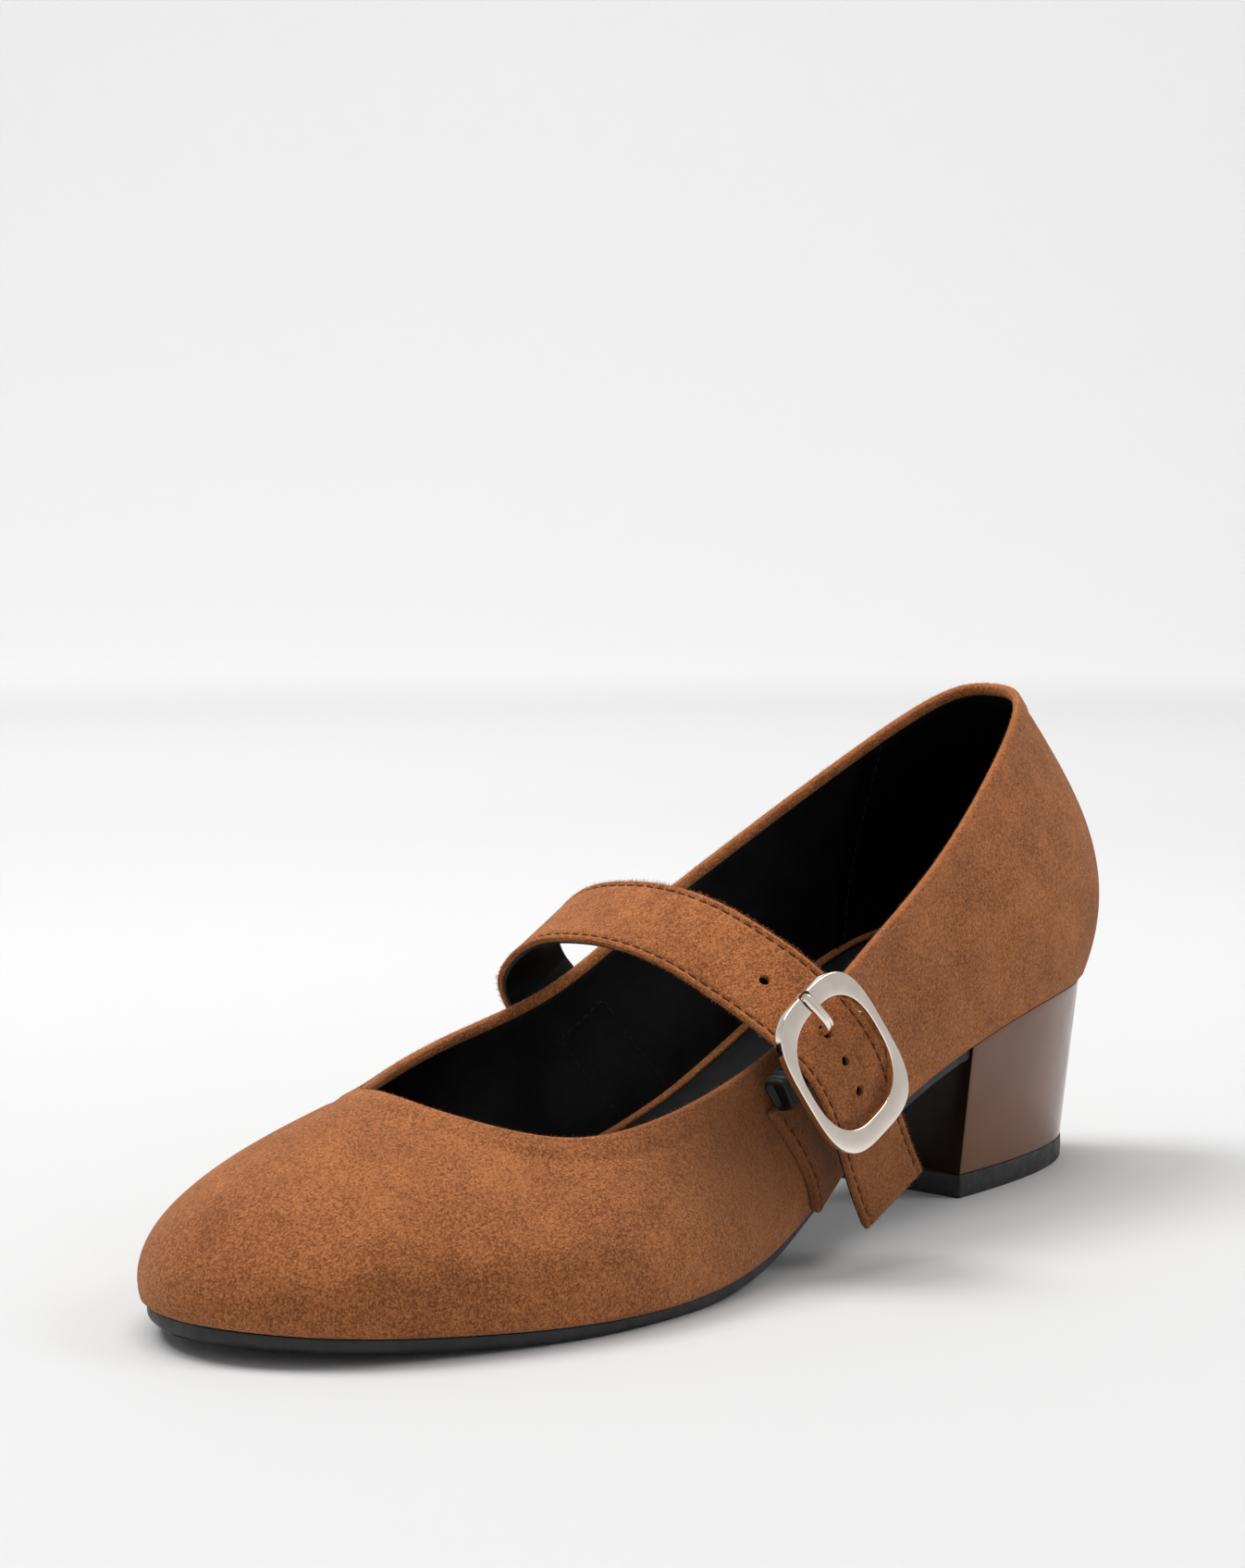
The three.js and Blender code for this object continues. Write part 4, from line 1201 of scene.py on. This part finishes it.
def heel_level(edges, xs, z, grow, to_seat):
    """One level of the heel's D outline, between the foot (0) and the seat's line (1)."""
    front, back = BREAST_FOOT_X + grow, HEEL_BACK_X - grow
    f = (BREAST_TOP_X - xs) / (BREAST_TOP_X - xs[-1])
    half = (HEEL_FOOT_HALF + grow) * (1 - f**HEEL_CURVE) ** (1 / HEEL_CURVE)
    x = front - (front - back) * f
    lat = np.stack([x, half, 0 * x + z], -1)
    med = lat * [1, -1, 1]
    g = np.linspace(0, 1, BREAST_POINTS + 2)[1:-1, None]
    foot = np.vstack([lat, med[::-1], med[0] * (1 - g) + lat[0] * g])
    return foot * (1 - to_seat) + plan_loop(edges, xs, BREAST_POINTS) * to_seat


def towards_middle(ring, blend):
    """A ring drawn in towards its own middle line, for a flat end face."""
    x = ring[:, 0]
    lo, hi = x.min(), x.max()
    middle = ring.copy()
    middle[:, 0] = np.clip(x, lo + 18, hi - 8)
    middle[:, 1] = 0.0
    return ring * (1 - blend) + middle * blend


def heel_solid(name, rings, materials, bevel):
    """Stacked rings shut by two end faces, with its hard edges slightly rounded."""
    rows = [towards_middle(rings[0], b) for b in (1.0, 0.6, 0.3)] + rings
    rows += [towards_middle(rings[-1], b) for b in (0.3, 0.6, 1.0)]
    grid = np.stack(rows, 1)
    faces = ring_faces(*grid.shape[:2], close_m=False)
    obj = make_object(name, grid, faces, materials, merge=0.01)
    mod = obj.modifiers.new("edge", "BEVEL")
    mod.width = bevel * MM
    mod.segments = 3
    mod.limit_method = "ANGLE"
    mod.angle_limit = math.radians(38)
    bake_modifiers(obj)
    set_edges(obj.data, 30)
    return obj


def make_heel_block():
    """The lacquered block heel: D shaped, its breast leaning back and painted darker as shade."""
    outline = heel_outline()
    foot = CAP_HEIGHT + GAP * 0.2
    rings = [heel_level(*outline, foot, 0.0, to_seat) for to_seat in np.linspace(1, 0, 16)]
    finishes = [finish("heel_gloss"), finish("heel_breast")]
    obj = heel_solid("heel_block_gloss", rings, finishes, 0.45)
    # painted shade: faces turned to the toe take the darker breast finish
    for face in obj.data.polygons:
        face.material_index = int(face.normal.x > 0.85)
    return obj


def make_heel_cap():
    """The rubber top piece that treads."""
    outline = heel_outline()
    levels = ((CAP_HEIGHT, 0.22), (CAP_HEIGHT * 0.5, 0.25), (0.0, 0.1))
    rings = [heel_level(*outline, z, grow, 0.0) for z, grow in levels]
    return heel_solid("heel_cap_rubber", rings, [finish("rubber")], 0.4)


# ======================= flat strips: the strap and its side tab =======================
def strip_section(half, outer, inner, radius, groove=0.0, samples=70):
    """Across a flat strip: (over, depth) round its rolled edges, with two seam grooves."""
    over = np.linspace(-(half - radius), half - radius, samples)
    off = np.abs(over)
    puff = -0.10 * smooth(off, SEAM_AT + 0.2, SEAM_AT + 0.9) if groove else 0 * over
    points = list(zip(over, outer + groove * bell(off - SEAM_AT, 0.36) + puff))
    small = min(radius, inner - outer - radius) * 0.9
    for k in range(1, 6):
        g = math.radians(18 * k)
        points.append((half - radius + radius * math.sin(g), outer + radius * (1 - math.cos(g))))
    for k in range(5):
        g = math.radians(22.5 * k)
        points.append((half - small + small * math.cos(g), inner - small + small * math.sin(g)))
    edge = points[samples:]
    points += [(x, inner) for x in np.linspace(half - small, -(half - small), 16)[1:-1]]
    points += [(-x, y) for x, y in edge[::-1]]
    return np.array(points)


def strip_layer(name, strip, u, end, section, middle, narrow, material):
    """A strip's section carried along u; its last places thin by the shares in end."""
    thin = np.concatenate([np.ones(len(u) - len(end)), end])[:, None]
    over = section[:, 0] * (1 - (1 - thin) * narrow)
    p, n = strip(np.repeat(u[:, None], len(section), 1), over)
    depth = middle + (section[:, 1] - middle) * thin
    grid = p + n * depth[..., None]
    return bar_solid(name, grid, [finish(material)]), grid, over


# worn edges and painted highlight along a strip's rolled edges
def edge_wear_and_highlight(over):
    return smooth(np.abs(over), SEAM_AT + 0.3, STRAP_HALF - 0.2)


def raw_edge(p, q, n, layers):
    """Lines for loose nap on a cut edge p, q lying further in. layers: (depth, tilt out)."""
    away = unit(p - q)
    return [(p + n * depth, unit(away - n * tilt)) for depth, tilt in layers]


def raw_sides(strip, u, layers):
    lines = []
    for side in (-1, 1):
        p, n = strip(u, 0 * u + side * STRAP_HALF)
        q, _ = strip(u, 0 * u + side * (STRAP_HALF - 1))
        lines += raw_edge(p, q, n, layers)
    return lines


def seam_round(strip, u):
    """The stitch line down both edges of a strip and across its end."""
    across = np.linspace(-SEAM_AT, SEAM_AT, 30)[1:-1]
    uu = np.concatenate([u, 0 * across + u[-1], u[::-1]])
    over = np.concatenate([0 * u - SEAM_AT, across, 0 * u + SEAM_AT])
    p, n = strip(uu, over)
    return p + n * THREAD_DEEP, -n


def punch_pins():
    """Pins for the five holes, and the slot the prong rises through."""
    pins = []
    for k, hole in enumerate(HOLES):
        spot = in_strap_plane(*hole)
        way = unit(STRAP_A + 0.8 * STRAP_B) if k < 2 else BUCKLE_N
        if hole == HOLE_MAIN:
            spot = prong_point(PRONG_HOLE_ALONG + 1.5, -1.0)
        path = np.linspace(spot - way * 7, spot + way * 5, 3)
        pins.append(sweep("pin", path, round_section(1.0), STRAP_W + 0.01))
    slot = prong_point(*np.transpose(PRONG_RISE))
    pins.append(sweep("pin", slot, round_section(1.05), STRAP_W))
    return pins


def strap_layer(name, section, material):
    """A punched layer of the strap, from the feather edge to its rounded-off tail."""
    u = np.concatenate([np.linspace(-1, 0, 60)[:-1], np.linspace(0, STRAP_END, 300)])
    tail = [STRAP_END - TAIL * (1 - math.sin(math.radians(a))) for a in (30, 60, 80, 90)]
    u = np.concatenate([u[u < STRAP_END - TAIL], tail])
    middle = section[:, 1].mean()
    end = (0.97, 0.85, 0.6, 0.3)
    obj, grid, over = strip_layer(name, strap_frame, u, end, section, middle, 0.03, material)
    combine(obj, punch_pins(), "DIFFERENCE")
    return obj, grid, over


def make_strap():
    """Suede strap with rolled, stitched edges and punched holes."""
    section = strip_section(STRAP_HALF, 0.0, 1.25, 0.5, groove=SEAM_DEEP)
    # painted light: the strap's suede is a lighter copy of the suede
    obj, grid, over = strap_layer("strap_suede", section, "suede_strap")
    # worn edges and painted highlight along the strap's rolled edges
    paint(obj, "wear", grid, 0.35 * edge_wear_and_highlight(over))
    # painted shade: darker under the buckle's frame and on the low tail that faces away from the
    # light
    away = np.linalg.norm(grid - BUCKLE_ZERO, axis=-1) / 11.0
    tail = smooth(-grid[..., 2], -32.0, -22.0)
    paint(obj, "dull", grid, np.maximum(0.42 * np.exp(-(away**4)), 0.62 * tail))
    return obj


def make_strap_lining():
    section = strip_section(STRAP_HALF - 0.45, 1.15, 1.95, 0.3, samples=30)
    return strap_layer("strap_lining", section, "lining")[0]


def strap_edge_lines():
    """Lines along the strap's raw edges and across its tail."""
    u = np.linspace(-0.9, STRAP_END - TAIL, 500)
    lines = raw_sides(strap_frame, u, ((0.25, 0.8), (0.6, 0.0)))
    over = np.linspace(-STRAP_HALF, STRAP_HALF, 40)
    p, n = strap_frame(0 * over + STRAP_END - 0.005, over)
    q, _ = strap_frame(0 * over + STRAP_END - 0.2, over)
    return lines + raw_edge(p, q, n, ((0.3, 0.8), (0.7, 0.0)))


def strap_seams():
    """The seam round the strap, and the tack across it on the medial side."""
    tack = np.linspace(-SEAM_AT, SEAM_AT, 40)
    p, n = strap_frame(0 * tack - 0.36, tack)
    round_it = seam_round(strap_frame, np.linspace(-0.95, STRAP_END - 0.27, 420))
    return [round_it, (p + n * 0.02, -n)]


def make_tab():
    """The suede tab that holds the elastic, lying on the lateral wall."""
    section = strip_section(STRAP_HALF, 0.0, TAB_THICK, 0.5, groove=SEAM_DEEP)
    u = np.concatenate([np.linspace(0, 0.97, 70), [0.985, 0.995, 1.0]])
    strip = ("tab_suede", tab_frame, u, (0.9, 0.7, 0.35))
    obj, grid, over = strip_layer(*strip, section, TAB_THICK / 2, 0.0, "suede_strap")
    # worn edges and painted highlight along the tab's rolled edges
    paint(obj, "wear", grid, 0.3 * edge_wear_and_highlight(over))
    # painted shade: the whole tab is painted darker
    paint(obj, "dull", grid, np.full(over.shape, 0.72))
    return obj


def tab_edge_lines():
    return raw_sides(tab_frame, np.linspace(0.02, 0.99, 80), ((0.35, 0.6),))


def tab_seams():
    return [seam_round(tab_frame, np.linspace(0.02, 0.9, 80))]


# ======================= elastic, buckle and prong =======================
def loop_path(grow):
    """The elastic's loop round the bar, as (along, out), evenly closed."""
    r = BAR_RADIUS + GAP
    g = np.linspace(math.pi / 2, 3 * math.pi / 2, 26)
    upper_end = np.stack([(r + grow) * np.cos(g), (r + grow) * np.sin(g)], -1)
    g = np.linspace(-math.pi / 2, math.pi / 2, 26)
    low = 0.7 * r + grow
    lower_end = np.stack([LOOP_LONG + low * np.cos(g), low * np.sin(g)], -1)
    f = np.linspace(0, 1, 18)[1:-1, None]
    down = upper_end[-1] * (1 - f) + lower_end[0] * f
    back = lower_end[-1] * (1 - f) + upper_end[0] * f
    return np.vstack([upper_end, down, lower_end, back])


def make_elastic():
    """Ribbed elastic: its ribs run round the bar, and it is slit where the prong turns."""
    lo, hi = ELASTIC_EDGES
    x = np.linspace(lo, hi, 160)
    edge = smooth(np.minimum(x - lo, hi - x), 0, 0.5)
    rib = RIB_HIGH * np.abs(np.cos(np.pi * x / RIB_PITCH)) ** 0.7
    outer = (ELASTIC_THICK - 0.1 + rib) * edge + 0.55 * (1 - edge)
    inner = np.concatenate([hi - np.array([0, 0.3, 0.55, 0.9, 1.3, 1.8]), np.linspace(8.5, lo, 8)])
    across = np.concatenate([x, inner])
    grow = np.concatenate([outer, 0 * inner + 0.05])
    paths = np.stack([loop_path(g) for g in grow], 1)
    loose = LOOP_LIFT * smooth(across, 7.9, 9.4) * smooth(paths[..., 1], 0.2, 1.4)
    # the loop is shut inside, a shallow recess short of its toe-side edge, over the bar's end
    inside = np.arange(len(across)) >= len(x)
    pinch = 1 - 0.92 * inside * (smooth(across, 9.9, 10.4) - smooth(across, 11.1, 11.4))
    along = BAR_ALONG + paths[..., 0]
    out = -BAR_DROP + paths[..., 1] * pinch + LOOP_LEAN * paths[..., 0] + loose * pinch
    obj = ring_solid("elastic_band", on_buckle(along, across, out), [finish("elastic")])
    box = rounded_box_section(2 * SLIT_HALF, 10.0, 0.3)
    path = on_buckle(BAR_ALONG + np.linspace(-6, 3.6, 3), SLIT_ACROSS, -BAR_DROP)
    combine(obj, [sweep("slit", path, box, BUCKLE_N)], "DIFFERENCE")
    return obj


def squared_round(g, long, wide, square):
    c, s = np.cos(g), np.sin(g)
    k = (np.abs(c) ** square + np.abs(s) ** square) ** (-1 / square)
    return long / 2 * c * k, wide / 2 * s * k


def buckle_ring():
    """The frame's flat ring, its edges slightly rounded."""
    g = np.arange(220) / 220 * 2 * math.pi
    ia, iw = squared_round(g, BUCKLE_OPEN_LONG, BUCKLE_OPEN_WIDE, 2.6)
    oa, ow = squared_round(g, BUCKLE_LONG, BUCKLE_WIDE, 3.4)
    width = np.hypot(oa - ia, ow - iw)
    half, radius = BUCKLE_THICK / 2, BUCKLE_EDGE
    rows = []
    for sx, sz, start in CORNERS:
        for k in range(6):
            a = math.radians(start + 18 * k)
            f = 0.5 + sx * (0.5 - radius / width) + radius * math.cos(a) / width
            high = half + sz * (half - radius) + radius * math.sin(a)
            rows.append(on_buckle(ia + (oa - ia) * f, iw + (ow - iw) * f, GAP + high))
    return ring_solid("buckle_frame_plated", np.stack(rows, 1), [finish("plated")])


def buckle_bar():
    """The bar under the frame, bent up into its two sides."""
    side = (BUCKLE_WIDE + BUCKLE_OPEN_WIDE) / 4 - 0.4
    half_bar = [(-side, GAP + 0.7), (-side, -1.5), (-side, BAR_BEND - BAR_DROP)]
    for k in range(1, 6):
        a = math.radians(18 * k)
        inwards = BAR_BEND * (1 - math.cos(a))
        half_bar.append((inwards - side, -BAR_DROP + BAR_BEND * (1 - math.sin(a))))
    straight = np.linspace(-side + BAR_BEND + 1, side - BAR_BEND - 1, 9)
    points = half_bar + [(w, -BAR_DROP) for w in straight] + [(-w, o) for w, o in half_bar[::-1]]
    path = np.array([on_buckle(BAR_ALONG, w - BAR_SHIFT, o) for w, o in points])
    slim = np.ones(len(path))
    slim[:4] = slim[-1:-5:-1] = [0.52, 0.52, 0.6, 0.8]
    return sweep("bar", path, round_section(BAR_RADIUS, 18), BUCKLE_T, scale=slim)


def make_buckle():
    """The flat plated frame with its hidden bar, notched for the prong."""
    obj = buckle_ring()
    combine(obj, [buckle_bar()], "UNION")
    notch = prong_point(np.linspace(-11.2, -18, 4), 1.85)
    combine(obj, [sweep("notch", notch, round_section(1.28, 18), BUCKLE_N)], "DIFFERENCE")
    for slot in obj.material_slots:
        slot.material = finish("plated")
    set_edges(obj.data, 40)
    return obj


def prong_path():
    """Round the bar, up through the hole and along to the frame's notch: (along, out)."""
    points = []
    for k in range(10):
        g = math.pi * (-0.35 + 1.5 * k / 9)
        r = BAR_RADIUS + GAP + PRONG_RADIUS
        points.append((BAR_ALONG + r * math.cos(g), -BAR_DROP - r * math.sin(g)))
    points += PRONG_RISE + PRONG_REST
    curve = open_curve([p + (0.0,) for p in points])
    return curve(np.linspace(0, len(points) - 1, 150))


def make_prong():
    """The flat-topped prong with a fine line cut along it."""
    middle = prong_path()
    path = prong_point(middle[:, 0], middle[:, 1])
    tangent = unit(np.gradient(path, axis=0))
    lift = np.cross(np.broadcast_to(-STRAP_W, tangent.shape), tangent)
    section = rounded_box_section(PRONG_WIDE, PRONG_HIGH, 0.35).tolist()
    top = next(k for k, (x, y) in enumerate(section) if y > PRONG_HIGH / 2 - 1e-6)
    line = ((0.22, 0.0), (0.12, -0.16), (-0.12, -0.16), (-0.22, 0.0))
    section[top + 1 : top + 1] = [(x, PRONG_HIGH / 2 + y) for x, y in line]
    scale = np.ones(len(path))
    scale[-6:] = [0.98, 0.95, 0.9, 0.83, 0.72, 0.55]
    plated = [finish("plated")]
    obj = sweep("buckle_prong_plated", path, section, lift, plated, scale)
    set_edges(obj.data, 35)
    return obj


# ======================= sidebar settings =======================
def length_property(name, description, default, low):
    return FloatProperty(
        name=name, description=description, default=default, min=low, unit="LENGTH"
    )


def colour_property(name, description, default):
    return FloatVectorProperty(
        name=name, description=description, default=default, subtype="COLOR", min=0, max=1
    )


class PumpSizes(PropertyGroup):
    """Sizes a maker would change."""

    stitch_pitch: length_property(
        "Stitch pitch", "Distance from one stitch to the next", 0.0025, 0.001
    )
    stitch_length: length_property(
        "Stitch length", "Length of thread that shows in each stitch", 0.0019, 0.0005
    )
    thread_width: length_property(
        "Thread width", "Thickness of the sewing thread", 0.00045, 0.0001
    )
    nap_length: length_property(
        "Nap length", "Length of the loose suede fibres on the edges", 0.00055, 0.0001
    )
    stage_radius: length_property(
        "Floor radius", "How far the pale floor runs before it curves up", 2.2, 0.5
    )
    stage_steps: IntProperty(
        name="Floor steps", description="Facets round the pale floor", default=96, min=12
    )


class PumpLook(PropertyGroup):
    """Colours of the finishes, as linear light."""

    suede: colour_property("Suede", "Cognac microfibre suede", (0.336, 0.110, 0.0335))
    lining: colour_property("Lining", "Black lining and sock", (0.0050, 0.0052, 0.0055))
    rubber: colour_property("Rubber", "Outsole and heel cap", (0.010, 0.010, 0.011))
    heel: colour_property("Heel", "Dark brown heel lacquer", (0.165, 0.070, 0.037))
    metal: colour_property("Metal", "Pale gold plating", (0.980, 0.880, 0.775))
    thread: colour_property("Thread", "Dark brown sewing thread", (0.085, 0.028, 0.010))
    floor: colour_property("Floor", "Pale studio floor", (0.66, 0.66, 0.66))


# ======================= operators =======================
class PUMP_OT_upper(Operator):
    """Make the suede upper with its lining and heel grip"""

    bl_idname = "pump.upper"
    bl_label = "Upper"

    def execute(self, context):
        place(make_upper_suede(), "suede", "upper")
        place(make_lining(), "sock")
        place(make_heel_grip(), "sock")
        return {"FINISHED"}


class PUMP_OT_bottom(Operator):
    """Make the insole, the outsole, the block heel and its cap"""

    bl_idname = "pump.bottom"
    bl_label = "Insole, sole and heel"

    def execute(self, context):
        place(make_insole(), "sock", "insole")
        place(make_insole_edge(), "suede")
        place(make_outsole(), "rubber", "outsole")
        place(make_heel_block(), "heel_plastic", "heel_block")
        place(make_heel_cap(), "rubber", "heel_cap")
        return {"FINISHED"}


class PUMP_OT_strap(Operator):
    """Make the punched strap, its black underside and the side tab"""

    bl_idname = "pump.strap"
    bl_label = "Strap and tab"

    def execute(self, context):
        place(make_strap(), "suede", "strap")
        place(make_strap_lining(), "sock")
        place(make_tab(), "suede", "buckle_tab")
        return {"FINISHED"}


class PUMP_OT_buckle(Operator):
    """Make the plated frame, its prong and the ribbed elastic"""

    bl_idname = "pump.buckle"
    bl_label = "Buckle and elastic"

    def execute(self, context):
        place(make_buckle(), "metal", "buckle_frame")
        place(make_prong(), "metal", "buckle_prong")
        place(make_elastic(), "elastic", "elastic_loop")
        return {"FINISHED"}


class PUMP_OT_stitching(Operator):
    """Sew the strap, the tab and the lining with Geometry Nodes"""

    bl_idname = "pump.stitching"
    bl_label = "Stitching"

    def execute(self, context):
        sizes = context.scene.pump_sizes
        thread = (sizes.stitch_pitch / MM, sizes.stitch_length / MM, sizes.thread_width / MM)
        place(sew("strap_stitches", strap_seams(), "thread", *thread), "suede")
        place(sew("tab_stitches", tab_seams(), "thread", *thread), "suede")
        lining = [box_seam(), grip_seam(1), grip_seam(-1)]
        place(sew("lining_stitches", lining, "black_thread", 2.2, 1.7, 0.42), "sock")
        return {"FINISHED"}


class PUMP_OT_nap(Operator):
    """Add the loose suede fibres along the folded and cut edges with Geometry Nodes"""

    bl_idname = "pump.nap"
    bl_label = "Loose nap"

    def execute(self, context):
        long = context.scene.pump_sizes.nap_length / MM
        place(fringe("topline_nap", rim_lines(), "suede", 0.22, long * 0.7), "suede")
        place(fringe("strap_nap", strap_edge_lines(), "suede_strap", 0.16, long), "suede")
        place(fringe("tab_nap", tab_edge_lines(), "suede_strap", 0.16, long), "suede")
        return {"FINISHED"}


class PUMP_OT_stage(Operator):
    """Set up the pale floor, the soft lights and the camera"""

    bl_idname = "pump.stage"
    bl_label = "Stage"

    def execute(self, context):
        make_floor(context.scene)
        make_lights(context.scene)
        make_camera(context.scene)
        return {"FINISHED"}


class PUMP_PT_panel(Panel):
    """Buttons and settings for the pump"""

    bl_idname = "PUMP_PT_panel"
    bl_label = "Mary jane pump"
    bl_space_type = "VIEW_3D"
    bl_region_type = "UI"
    bl_category = "Pump"

    def draw(self, context):
        column = self.layout.column()
        for step in STEPS:
            column.operator(step.bl_idname)
        for group in (context.scene.pump_sizes, context.scene.pump_look):
            for name in group.__annotations__:
                column.prop(group, name)


# ======================= stage =======================
def make_floor(scene):
    """A pale round floor that curves up into a wall on every side."""
    radius, n = scene.pump_sizes.stage_radius, scene.pump_sizes.stage_steps
    profile = [(0.0, 0.0), (radius * 0.25, 0.0), (radius, 0.0)]
    for k in range(1, 13):
        g = math.radians(7.5 * k)
        profile.append((radius + FLOOR_CURVE * math.sin(g), FLOOR_CURVE * (1 - math.cos(g))))
    profile.append((radius + FLOOR_CURVE, BACKDROP_HIGH))
    verts = []
    for k in range(n):
        g = 2 * math.pi * k / n
        verts += [(r * math.cos(g), r * math.sin(g), z) for r, z in profile]
    faces = ring_faces(n, len(profile), close_m=False)
    mesh = bpy.data.meshes.new("floor")
    mesh.from_pydata(verts, [], [f[::-1] for f in faces])
    floor = link_object("floor", mesh)
    mesh.shade_smooth()
    mesh.materials.append(floor_finish(scene.pump_look.floor, radius))


def floor_finish(colour, radius):
    """Pale and matt, darker away from the shoe and lighter where the wall rises."""
    material, tree, shader = new_finish("pale_floor")
    flat = {0: place_of(tree), 1: (1.0, 1.0, 0.0)}
    reach = result(tree, "ShaderNodeVectorMath", flat, operation="MULTIPLY")
    far = node(tree, "ShaderNodeVectorMath", {0: reach}, operation="LENGTH").outputs["Value"]
    tone = mix(tree, spread(tree, far, 0.25, 0.9), colour, shade(colour, 0.88))
    tone = mix(tree, spread(tree, far, radius - 0.6, radius + 0.1), tone, shade(colour, 1.10))
    dress_shader(tree, shader, {"Base Color": tone, "Roughness": 0.7, SPECULAR: 0.15})
    return material


def aim(scene, name, data, spot, target):
    """Stands a lamp or the camera at a spot, looking at the target, both in metres."""
    obj = bpy.data.objects.new(name, data)
    spot, target = Vector(spot), Vector(target)
    obj.location = spot
    obj.rotation_euler = (target - spot).to_track_quat("-Z", "Y").to_euler()
    scene.collection.objects.link(obj)
    return obj


def make_lights(scene):
    for name, spot, size, watts, target in LIGHTS:
        data = bpy.data.lights.new(name, "AREA")
        data.shape = "DISK"
        data.size = size
        data.energy = watts
        aim(scene, name, data, spot, target)
    world = bpy.data.worlds.new("soft_room")
    world.use_nodes = True
    background = world.node_tree.nodes["Background"].inputs
    background["Color"].default_value = (1, 1, 1, 1)
    background["Strength"].default_value = WORLD_STRENGTH
    scene.world = world
    scene.view_settings.view_transform = "Standard"
    scene.view_settings.look = "None"
    scene.view_settings.exposure = 0.0


def make_camera(scene):
    data = bpy.data.cameras.new("camera")
    data.sensor_fit = "HORIZONTAL"
    data.sensor_width = 36.0
    data.lens = LENS
    data.shift_y = SHIFT_UP
    data.clip_start = 0.01
    spot, target = ((np.array([CAMERA_AT, CAMERA_LOOK]) + ORIGIN) * MM).tolist()
    scene.camera = aim(scene, "camera", data, spot, target)


# ======================= running =======================
STEPS = (
    PUMP_OT_stage,
    PUMP_OT_upper,
    PUMP_OT_bottom,
    PUMP_OT_strap,
    PUMP_OT_buckle,
    PUMP_OT_stitching,
    PUMP_OT_nap,
)
CLASSES = (PumpSizes, PumpLook) + STEPS + (PUMP_PT_panel,)


def register():
    for cls in CLASSES:
        bpy.utils.register_class(cls)
    bpy.types.Scene.pump_sizes = PointerProperty(type=PumpSizes)
    bpy.types.Scene.pump_look = PointerProperty(type=PumpLook)


def unregister():
    del bpy.types.Scene.pump_look
    del bpy.types.Scene.pump_sizes
    for cls in reversed(CLASSES):
        bpy.utils.unregister_class(cls)


def main():
    register()
    bpy.ops.pump.stage()
    bpy.ops.pump.upper()
    bpy.ops.pump.bottom()
    bpy.ops.pump.strap()
    bpy.ops.pump.buckle()
    bpy.ops.pump.stitching()
    bpy.ops.pump.nap()


if __name__ == "__main__":
    main()
